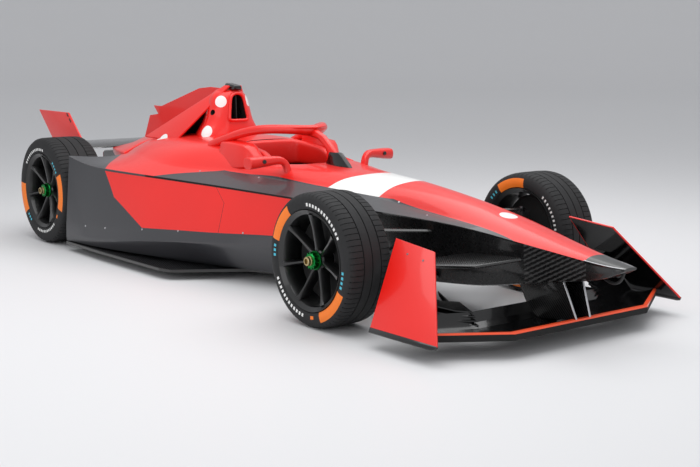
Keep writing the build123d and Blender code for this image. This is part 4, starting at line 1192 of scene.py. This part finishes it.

# ---------------------------------------------------------------- nose fittings
# line of a silver rod that stands for the highlight along the edge under the nose tip, and upper
# outline of an arm's shroud
TIP_HIGHLIGHT = [(1.04, 0.0795, 0.405), (1.125, 0.0685, 0.3945), (1.205, 0.0505, 0.3905),
            (1.236, 0.03, 0.39)]
SHROUD = [(0.715, 0.12, 0.373), (0.612, 0.329, 0.342), (0.438, 0.42, 0.328), (0.33, 0.43, 0.325),
          (0.3, 0.38, 0.333), (0.437, 0.165, 0.366)]
SHROUD_T = 0.016
BRACKET = [(1.075, 0, 0.330), (1.130, 0, 0.305), (1.165, 0, 0.308), (1.195, 0, 0.330),
           (1.205, 0, 0.372)]


def make_nose_fittings():
    """Silver rod standing for the highlight along the edge under the nose tip, shrouds of the lower
    arms and the sensor bracket.
    """
    for name, side in SIDES:
        # a thin silver rod along the tip's edge stands for the edge's highlight
        bm = tube(on_side(TIP_HIGHLIGHT, side), 0.0022)
        finish_piece(bm, f"tip_edge_{name}", "alloy", [SILVER_AND_HIGHLIGHT])
        bm = slab(on_side(SHROUD, side), (0, 0, -SHROUD_T), width=0.006, segments=4)
        finish_piece(bm, f"arm_shroud_{name}", "carbon", [FINE_CARBON], 50)
    finish_piece(tube(on_side(BRACKET), 0.007, bevel=3), "sensor_bracket", "black_case",
                 [BLACK_CASE])


make_nose_fittings()

# ---------------------------------------------------------------- cockpit
# stations of the raised side of the cockpit, rear to front: x, then y and z of its outer foot, outer
# top, inner top and inner foot
SURROUND = [(-1.56, 0.372, 0.61, 0.332, 0.748, 0.262, 0.762, 0.232, 0.6),
            (-1.48, 0.372, 0.61, 0.334, 0.752, 0.262, 0.766, 0.232, 0.6),
            (-1.38, 0.368, 0.612, 0.335, 0.75, 0.262, 0.764, 0.232, 0.6),
            (-1.31, 0.362, 0.618, 0.332, 0.744, 0.262, 0.757, 0.232, 0.6),
            (-1.275, 0.352, 0.625, 0.32, 0.726, 0.258, 0.74, 0.232, 0.6),
            (-1.245, 0.335, 0.632, 0.304, 0.69, 0.254, 0.702, 0.232, 0.6),
            (-1.21, 0.315, 0.64, 0.29, 0.668, 0.25, 0.676, 0.232, 0.6),
            (-1.12, 0.295, 0.64, 0.275, 0.66, 0.246, 0.666, 0.232, 0.6),
            (-1.04, 0.275, 0.64, 0.262, 0.652, 0.24, 0.657, 0.228, 0.6)]
# stations of the head pad from one side round behind the head to its middle: x, y, middle z, half
# height, half depth
HEAD_PAD = [(-1.06, 0.218, 0.634, 0.014, 0.014), (-1.14, 0.216, 0.636, 0.02, 0.018),
            (-1.205, 0.214, 0.642, 0.03, 0.022), (-1.245, 0.213, 0.652, 0.046, 0.024),
            (-1.29, 0.212, 0.658, 0.058, 0.026), (-1.38, 0.21, 0.662, 0.064, 0.028),
            (-1.47, 0.206, 0.666, 0.07, 0.032), (-1.525, 0.18, 0.67, 0.076, 0.04),
            (-1.542, 0.09, 0.67, 0.078, 0.038), (-1.543, 0.0, 0.67, 0.078, 0.038)]
# half sections of the seat from the front edge to the headrest: x, z, half width, side height
SEAT_ROWS = [(-1.02, 0.16, 0.15, 0.035), (-1.1, 0.15, 0.158, 0.06), (-1.18, 0.168, 0.165, 0.09),
             (-1.26, 0.235, 0.172, 0.085), (-1.33, 0.33, 0.176, 0.07), (-1.4, 0.43, 0.17, 0.06),
             (-1.455, 0.52, 0.15, 0.045), (-1.478, 0.556, 0.13, 0.02)]
SEAT_T = 0.016
# places across the seat: share of the half width, share of the side height
SEAT_ACROSS = [(-1.0, 1.0), (-0.88, 0.45), (-0.6, 0.08), (-0.2, 0.0), (0.2, 0.0), (0.6, 0.08),
               (0.88, 0.45), (1.0, 1.0)]
SEAT_LEAN = 0.35                           # how far the sides lean forward for their height
# belts: step across the webbing, and the line of one edge
BELTS = {"shoulder": ((0, 0.046, 0), [(-1.485, 0.075, 0.566), (-1.440, 0.080, 0.548),
                                      (-1.390, 0.080, 0.462), (-1.300, 0.070, 0.332),
                                      (-1.225, 0.050, 0.236), (-1.175, 0.022, 0.205)]),
         "lap": ((0.046, 0, 0.006), [(-1.200, 0.170, 0.225), (-1.190, 0.110, 0.200),
                                     (-1.170, 0.030, 0.200)])}
BELT_LIFT = 0.010
BUCKLE_PLACE = (-1.168, 0, 0.222)
WHEEL_JOINT = JOINTS["steering_wheel_turn"]
# the steering wheel's outline, grips and buttons, in its own plane
WHEEL_RIM = [(0.135, 0.045), (0.128, 0.075), (0.09, 0.085), (-0.09, 0.085), (-0.128, 0.075),
             (-0.135, 0.045), (-0.132, -0.045), (-0.105, -0.08), (-0.06, -0.085), (0.06, -0.085),
             (0.105, -0.08), (0.132, -0.045)]
WHEEL_HALF_T = 0.012
GRIP_LINE = ((0.118, 0.066), (0.131, 0.045), (0.131, 0.0), (0.128, -0.045), (0.108, -0.072))
BUTTON_PLACES = ((-0.060, 0.0), (-0.030, -0.010), (0.0, -0.014), (0.030, -0.010), (0.060, 0.0),
                 (-0.045, -0.045), (0.0, -0.052), (0.045, -0.045))


def make_surround():
    """Raised painted sides of the cockpit, dropping to the sill at the front."""
    for name, side in SIDES:
        bm = lofted([[at(x, side * y, z) for y, z in pairs(places)] for x, *places in SURROUND],
                    width=0.009, segments=4, angle=24)
        finish_piece(bm, f"surround_{name}", "red_paint", [RED_PAINT],
                     replaces=["cockpit_surround"] if side > 0 else ())


def make_head_pad():
    """Padded ring round the driver's head."""
    path = with_mirror(HEAD_PAD, 1, (0, 1))
    rings = []
    for number, (x, y, middle, high, deep) in enumerate(path):
        ahead = path[min(number + 1, len(path) - 1)]
        behind = path[max(number - 1, 0)]
        along = Vector((ahead[0] - behind[0], ahead[1] - behind[1], 0)).normalized()
        across = Vector((along.y, -along.x, 0))
        rings.append([at(x, y, middle) + across * deep * out + Vector((0, 0, high * up))
                      for out, up in squared_circle((0.45, 0.35))])
    pad = finish_piece(lofted(rings), "head_pad", "headrest_foam", [FOAM_RED], 60, ["headrest"])
    add_subdivision(pad, 2)
    bake_modifiers(pad, 60)


def make_seat():
    """Moulded seat: a shell whose sides rise round the driver, with padding on it."""
    rows = [[at(x + SEAT_LEAN * lift * rise, y * half, z + lift * rise) for y, lift in SEAT_ACROSS]
            for x, z, half, rise in SEAT_ROWS]
    bm = lofted(rows, closed=False, caps=False)
    seat = finish_piece(bm, "seat_pad", "seat_foam", [SEAT_CLOTH], 60, ["seat"])
    add_wall(seat, SEAT_T, 0.0)
    add_subdivision(seat, 2)
    bake_modifiers(seat, 60)


def make_belts():
    """Webbing over the shoulders and the lap, and the round buckle where it meets."""
    for name, side in SIDES:
        for kind, ((along, across, up), path) in BELTS.items():
            bm = bmesh.new()
            edges = ring_edges(bm, [at(x, side * y, z + BELT_LIFT) for x, y, z in path])
            extrude_edges(bm, edges, (along, side * across, up))
            belt = finish_piece(bm, f"{kind}_belt_{name}", "seat_foam", [WEBBING], 60)
            add_subdivision(belt, 2)
            add_wall(belt, 0.0025, 1.0)
            bake_modifiers(belt, 40)
    bm = stud(turned(at(*BUCKLE_PLACE), 25, "Y"), 0.030, 0.026, 0.018, 32, width=0.003, segments=3)
    finish_piece(bm, "belt_buckle", "alloy", [ALLOY])


def make_steering_wheel():
    """Flat-topped wheel with two hand holes, grips, a screen and a row of buttons."""
    rides = {"body": "steering_wheel"}
    place = facing(WHEEL_JOINT["pos_m"], Vector(WHEEL_JOINT["axis"]).normalized())
    rim = [(x, y, -WHEEL_HALF_T) for x, y in WHEEL_RIM]
    bm = slab(rim, (0, 0, 2 * WHEEL_HALF_T), width=0.008, segments=3, angle=50)
    move_all(bm, place)
    wheel = finish_piece(bm, "wheel_body", "grip", [FINE_CARBON], replaces=["steering_wheel"], **rides)
    for name, side in SIDES:
        hole = place @ Matrix.Translation((side * 0.098, -0.004, 0))
        cut_away(wheel, box(hole, (0.026, 0.088, 0.08), width=0.010, segments=3), FINE_CARBON)
    for name, side in SIDES:
        points = [place @ Vector((side * x, y, 0)) for x, y in GRIP_LINE]
        bm = tube(points, 0.0165, radii=[0.8, 1.0, 1.05, 1.0, 0.8])
        finish_piece(bm, f"wheel_grip_{name}", "grip", [MATT_BLACK], 60, **rides)
    bm = box(place @ Matrix.Translation((0, 0.036, 0.012)), (0.100, 0.056, 0.008), width=0.002)
    finish_piece(bm, "wheel_screen", "black_case", [SCREEN], **rides)
    bm = bmesh.new()
    for x, y in BUTTON_PLACES:
        add_stud(bm, place @ Matrix.Translation((x, y, 0.015)), 0.0075, 0.0060, 0.010)
    finish_piece(bm, "wheel_buttons", "nut_green", [BUTTONS], **rides)


make_surround()
make_head_pad()
make_seat()
make_belts()
make_steering_wheel()

# ---------------------------------------------------------------- halo, its fairing and the mirrors
# line of the halo from its foot to its middle, and how much the tube swells along it
HALO_LINE = [(-1.7, 0.305, 0.716), (-1.64, 0.3, 0.742), (-1.54, 0.282, 0.774), (-1.4, 0.258, 0.818),
             (-1.29, 0.215, 0.838), (-1.19, 0.15, 0.842), (-1.115, 0.08, 0.84),
             (-1.085, 0.0, 0.836)]
HALO_RADII = [1.1, 1.0, 1.0, 1.0, 1.0, 1.0, 1.05, 1.1]
HALO_R = 0.0265
# side outline of the blade: x and z
BLADE = [(-0.852, 0.64), (-0.856, 0.7), (-0.865, 0.729), (-0.918, 0.768), (-0.978, 0.812),
         (-1.049, 0.838), (-1.11, 0.856), (-1.19, 0.848), (-1.19, 0.815), (-1.105, 0.8),
         (-1.025, 0.788), (-0.994, 0.769), (-0.951, 0.736), (-0.941, 0.7), (-0.95, 0.64)]
BLADE_HALF_T = 0.017
# half the plan of the cap over the halo's front: x and y
VISOR = [(-1.055, 0.0), (-1.07, 0.05), (-1.105, 0.105), (-1.165, 0.155), (-1.2, 0.14),
         (-1.175, 0.075), (-1.165, 0.0)]
VISOR_Z = 0.846
VISOR_T = 0.014
# z, front and rear x and half width of the dark fairing at the blade's foot
FAIRING = [(0.64, -0.722, -0.965, 0.032), (0.664, -0.742, -0.958, 0.029),
           (0.7, -0.785, -0.95, 0.024), (0.726, -0.818, -0.944, 0.02)]
FAIRING_STEPS = 20
# stations of a mirror from its foot over the elbow to the outer end: place, half length, half height
# and how far it has leaned over
MIRROR = [((-0.955, 0.272, 0.596), 0.025, 0.019, 0.0), ((-0.957, 0.276, 0.636), 0.023, 0.018, 0.0),
          ((-0.962, 0.284, 0.668), 0.023, 0.02, 0.35), ((-0.97, 0.304, 0.688), 0.025, 0.023, 0.85),
          ((-0.978, 0.334, 0.692), 0.028, 0.024, 1.0), ((-0.986, 0.372, 0.69), 0.032, 0.026, 1.0),
          ((-0.996, 0.42, 0.686), 0.038, 0.031, 1.0), ((-1.006, 0.475, 0.682), 0.041, 0.034, 1.0),
          ((-1.01, 0.51, 0.68), 0.041, 0.034, 1.0)]


def make_halo():
    """Titanium ring with its faired front and the blade that carries it."""
    points = on_side(with_mirror(HALO_LINE, 1, (0, 1)))
    radii = HALO_RADII + HALO_RADII[-2::-1]
    bm = tube(points, HALO_R, radii, resolution=10, bevel=7)
    finish_piece(bm, "halo_ring", "red_paint", [RED_PAINT], 60, ["halo"])
    bm = side_plate(BLADE, -BLADE_HALF_T, 2 * BLADE_HALF_T, width=0.012, segments=4, angle=60)
    finish_piece(bm, "halo_blade", "red_paint", [RED_PAINT], 50)
    visor = [at(x, y, VISOR_Z) for x, y in with_mirror(VISOR, 1, (1, 1))]
    bm = slab(visor, (0, 0, VISOR_T), width=0.006, segments=4, angle=40)
    finish_piece(bm, "halo_visor", "red_paint", [RED_PAINT], 50)


def make_fairing():
    """Dark fairing round the foot of the blade."""
    angles = [tau * step / FAIRING_STEPS for step in range(FAIRING_STEPS)]
    rings = []
    for z, front, rear, half in FAIRING:
        middle, reach = (front + rear) / 2, (front - rear) / 2
        rings.append([at(middle + reach * cos(a), half * sin(a), z) for a in angles])
    bm = lofted(rings, width=0.003, segments=3, angle=50)
    finish_piece(bm, "blade_fairing", "black_case", [GLOSS_BLACK], 50, ["halo_fairing"])


def make_mirror(name, side):
    """Arm bent out of the cockpit's shoulder that swells into the mirror's housing, and its glass."""
    rings = []
    for (x, y, z), half_long, half_high, lean in MIRROR:
        outward = Vector((0, side * (1 - lean), -lean)).normalized()
        rings.append([at(x, side * y, z) + Vector((half_long * long, 0, 0))
                      + outward * (half_high * high) for long, high in squared_circle((0.6, 0.6))])
    bm = lofted(rings, width=0.006, segments=3, angle=60)
    mirror = finish_piece(bm, f"mirror_body_{name}", "red_paint", [RED_PAINT], 60,
                          [f"mirror_{name}"])
    add_subdivision(mirror, 1)
    bake_modifiers(mirror, 50)
    bm = box(turned(at(-1.0385, side * 0.452, 0.684), side * -4), (0.006, 0.105, 0.042),
             width=0.004, segments=3)
    finish_piece(bm, f"mirror_glass_{name}", "black_case", [MIRROR_GLASS])
    bm = stud(turned(at(-0.958, side * 0.430, 0.690), 80, "Y"), 0.0115, 0.0115, 0.008, 24,
              width=0.0015)
    finish_piece(bm, f"mirror_sensor_{name}", "black_case", [GLOSS_BLACK])


make_halo()
make_fairing()
for side_name, side in SIDES:
    make_mirror(side_name, side)

# ---------------------------------------------------------------- fin, tail and rear plates
# side outlines of the fin, of a rear plate and of the rear plane: x and z
FIN = [(-2.06, 1.036), (-2.192, 1.039), (-2.326, 1.025), (-2.8525, 0.874), (-2.8535, 0.829),
       (-2.98, 0.812), (-3.058, 0.659), (-3.035, 0.61), (-2.64, 0.69), (-2.06, 0.69)]
FIN_HALF_T = 0.007
# sections of the tail cover: x, top z, then y and z of its shoulder, edge and foot
TAIL_ROWS = [(-2.601, 0.742, 0.288, 0.664, 0.418, 0.606, 0.424, 0.545),
             (-2.76, 0.722, 0.23, 0.652, 0.375, 0.603, 0.38, 0.552),
             (-2.9, 0.7, 0.17, 0.64, 0.328, 0.6, 0.33, 0.56),
             (-3.0, 0.676, 0.125, 0.63, 0.288, 0.6, 0.288, 0.57),
             (-3.078, 0.655, 0.09, 0.622, 0.248, 0.6, 0.25, 0.58)]
REAR_PLATE = [(-3.763, 0.824), (-3.2905, 0.828), (-3.1105, 0.67), (-3.045, 0.602), (-3.5, 0.57),
              (-3.56, 0.64)]
REAR_PLATE_FACES = (0.462, 0.474)
REAR_PLANE = [(-3.004, 0.607), (-3.01, 0.615), (-3.08, 0.624), (-3.25, 0.626), (-3.478, 0.612),
              (-3.478, 0.596), (-3.25, 0.592), (-3.06, 0.594)]
CLIPS = ((-3.300, 0.812), (-3.262, 0.776))
CLIP_SIZE = (0.034, 0.012, 0.014)


def make_rear():
    """Fin, tail cover, and the small rear wing between its two plates."""
    low, high = REAR_PLATE_FACES
    bm = side_plate(FIN, -FIN_HALF_T, 2 * FIN_HALF_T)
    finish_piece(bm, "fin_blade", "red_paint", [RED_PAINT], replaces=["shark_fin"])
    rings = []
    for x, top, *places in TAIL_ROWS:
        section = with_mirror([(0.0, top), *pairs(places)], skip=(1, 0))
        rings.append([at(x, y, z) for y, z in section])
    bm = lofted(rings, width=0.006, segments=3, angle=50)
    finish_piece(bm, "tail_skin", "red_paint", [RED_PAINT], 35, ["tail_cover"])
    finish_piece(side_plate(REAR_PLANE, -low, 2 * low), "rear_wing_plane", "carbon", [GLOSS_BLACK],
                 30, ["rear_wing"])
    for name, side in SIDES:
        bm = side_plate(REAR_PLATE, side * low, side * (high - low), width=0.003, segments=3)
        finish_piece(bm, f"rear_plate_{name}", "red_paint", [RED_PAINT],
                     replaces=[f"rear_wing_plate_{name}"])
        bm = bmesh.new()
        for x, z in CLIPS:
            add_box(bm, turned(at(x, side * (high - 0.004), z), 42, "Y"), CLIP_SIZE)
        bevel_all(bm, 0.003)
        finish_piece(bm, f"plate_clips_{name}", "black_case", [BLACK_CASE])


# ---------------------------------------------------------------- intake lip, camera pod, screws
LIP_R = 0.010
LIP_RAKE = 0.14
# half of the mouth's lip, from its foot to its crown: y and z
LIP_LINE = [(0.0, 0.845), (0.05, 0.845), (0.069, 0.851), (0.065, 0.885), (0.058, 0.925),
            (0.052, 0.965), (0.045, 0.99), (0.028, 1.008), (0.0, 1.014)]
VANE = ((-1.892, 0.852), (-1.900, 1.004), (-2.030, 1.004), (-2.030, 0.852))
VANE_HALF_T = 0.004
POD_PLACE = (-1.932, 0, 1.053)
POD_TAPER = 0.72                           # width of the camera pod's top to its foot
# places next to the screws: x, y, z
FLANK_SCREWS = [(-2.371, 0.818, 0.186), (-2.154, 0.795, 0.199), (-1.791, 0.739, 0.233),
                (-1.49, 0.671, 0.257), (-1.008, 0.542, 0.298)]
DECK_SCREWS = [(-0.128, 0.165, 0.54), (-1.12, 0.36, 0.586), (-1.56, 0.48, 0.6), (0.126, 0.2, 0.506)]
SCREWED_PANELS = ("cell_skin", "cover_skin", "flank_left", "flank_right")


def make_intake_lip():
    """Rolled lip round the mouth, the vane in it and the camera pod's housing."""
    front = TOWER[0][1] - 0.006
    points = [at(front + (MOUTH[0][1] - z) * LIP_RAKE, y, z)
              for y, z in with_mirror(LIP_LINE, skip=(1, 1))]
    bm = tube(points, LIP_R, order=3, resolution=6, bevel=5, ring=True)
    finish_piece(bm, "intake_rim", "red_paint", [RED_PAINT], 60)
    bm = side_plate(VANE, -VANE_HALF_T, 2 * VANE_HALF_T, width=0.002)
    finish_piece(bm, "intake_vane", "black_case", [BLACK_CASE])
    bm = box(turned(at(*POD_PLACE), 7, "Y"), (0.104, 0.074, 0.030))
    for vert in bm.verts:
        if vert.co.z > POD_PLACE[2] + 0.001:
            vert.co.y *= POD_TAPER
    bevel_all(bm, 0.009, 4)
    finish_piece(bm, "pod_housing", "black_case", [GLOSS_BLACK], 50, ["camera_pod"])


def nearest_on(panels, place):
    """The nearest point of some panels to a place, and the way the panel faces there."""
    reached = [panel.closest_point_on_mesh(place) for panel in panels]
    nearest = min((r for r in reached if r[0]), key=lambda r: (r[1] - place).length)
    return nearest[1], nearest[2]


def make_screws():
    """Countersunk screws along the flanks and the deck, each set square on its panel."""
    panels = [bpy.data.objects[name] for name in SCREWED_PANELS]
    for name, side in SIDES:
        bm = bmesh.new()
        for place in on_side(FLANK_SCREWS + DECK_SCREWS, side):
            point, normal = nearest_on(panels, place)
            add_stud(bm, facing(point + normal * 0.0006, normal), 0.0062, 0.0052, 0.0024)
        finish_piece(bm, f"panel_screws_{name}", "alloy", [SILVER_AND_HIGHLIGHT], 30)


make_rear()
make_intake_lip()
make_screws()

# ---------------------------------------------------------------- brakes
# end, axle, y of the inner and of the outer side, body
DRUMS = [("front", FRONT_AXLE, 0.690, 0.738, "knuckle_{}"),
         ("rear", REAR_AXLE, 0.650, 0.720, "chassis")]
DRUM_RADIUS = 0.200


def make_brakes():
    """Dark drum behind the spokes of each wheel."""
    for end, axle, inner, outer, body in DRUMS:
        ring = [(inner, 0.05), (inner, DRUM_RADIUS - 0.012), (inner + 0.01, DRUM_RADIUS),
                (outer - 0.010, DRUM_RADIUS), (outer, DRUM_RADIUS - 0.010),
                (outer - 0.004, DRUM_RADIUS - 0.030), (outer - 0.012, DRUM_RADIUS * 0.6),
                (outer - 0.012, 0.062), (outer - 0.03, 0.05)]
        for name, side in SIDES:
            bm = bmesh.new()
            spin_profile(bm, ring, 64)
            move_all(bm, wheel_place(axle, 0, side))
            finish_piece(bm, f"brake_drum_{end}_{name}", "black_case", [MATT_BLACK],
                         body=body.format(name))


make_brakes()

# ---------------------------------------------------------------- carried-over nodes
NODE_FINISHES = {
    "carbon": FINE_CARBON, "black_case": BLACK_CASE, "alloy": ALLOY, "red_paint": RED_PAINT,
    "grip": MATT_BLACK, "lamp": LAMP, "headrest_foam": FOAM_RED, "seat_foam": MATT_BLACK,
    "tyre": TYRE_RUBBER, "rim_black": RIM_BLACK, "nut_green": NUT_GREEN,
}
SLOT_OF = {part["node"]: part["material_slot"] for part in frame["record"]["subparts"]}
for node_name, node in frame["nodes"].items():
    node.data.materials.clear()
    node.data.materials.append(NODE_FINISHES[SLOT_OF[node_name]])

# ---------------------------------------------------------------- studio
FLOOR_COLOUR = (0.72, 0.72, 0.73, 1.0)
FLOOR_FRONT, FLOOR_BACK, FLOOR_HALF = 24.0, -21.0, 50.0
WALL_CURVE, WALL_HEIGHT = 9.0, 16.0
CURVE_STEPS = 8
AIR_COLOUR = (0.72, 0.73, 0.75, 1.0)
AIR_STRENGTH = 0.85
# soft lights: name, place, the point it is turned to, size, watts
LIGHTS = [("overhead", (0.5, 0.0, 4.2), (0.4, 0, 0), (7.0, 5.0), 206),
          ("side_fill", (2.5, -6.5, 2.2), (0, 0, 0.4), (6.0, 2.5), 60),
          ("front_fill", (8.0, -1.0, 2.5), (1, 0, 0.4), (3.0, 3.0), 22)]


def make_studio():
    """A pale floor that curves up into a wall across the camera's view."""
    bm = bmesh.new()
    angles = [step * pi / 2 / CURVE_STEPS for step in range(1, CURVE_STEPS + 1)]
    points = [(FLOOR_FRONT, 0.0), (FLOOR_BACK, 0.0)]
    points += [(FLOOR_BACK - WALL_CURVE * sin(a), WALL_CURVE - WALL_CURVE * cos(a)) for a in angles]
    points += [(FLOOR_BACK - WALL_CURVE, WALL_HEIGHT)]
    extrude_edges(bm, ring_edges(bm, [(x, -FLOOR_HALF, z) for x, z in points]),
                  (0, 2 * FLOOR_HALF, 0))
    move_all(bm, turned((0, 0, 0), CAMERA_YAW - 180))
    finish = Nodes("studio_floor", Roughness=0.55, Base_Color=FLOOR_COLOUR).material
    studio = as_object(bm, "studio_floor", [finish])
    studio.data.shade_smooth()


def add_light(name, place, target, size, watts):
    """A rectangular soft light turned to a point."""
    lamp = bpy.data.lights.new(name, "AREA")
    lamp.shape = "RECTANGLE"
    lamp.size, lamp.size_y = size
    lamp.energy = watts
    light = bpy.data.objects.new(name, lamp)
    light.matrix_world = facing(place, Vector(target) - Vector(place), "-Z")
    bpy.context.collection.objects.link(light)


make_studio()
for light in LIGHTS:
    add_light(*light)
world = bpy.data.worlds.new("studio_air")
bpy.context.scene.world = world
world.use_nodes = True
colour, strength = world.node_tree.nodes["Background"].inputs[:2]
colour.default_value, strength.default_value = AIR_COLOUR, AIR_STRENGTH
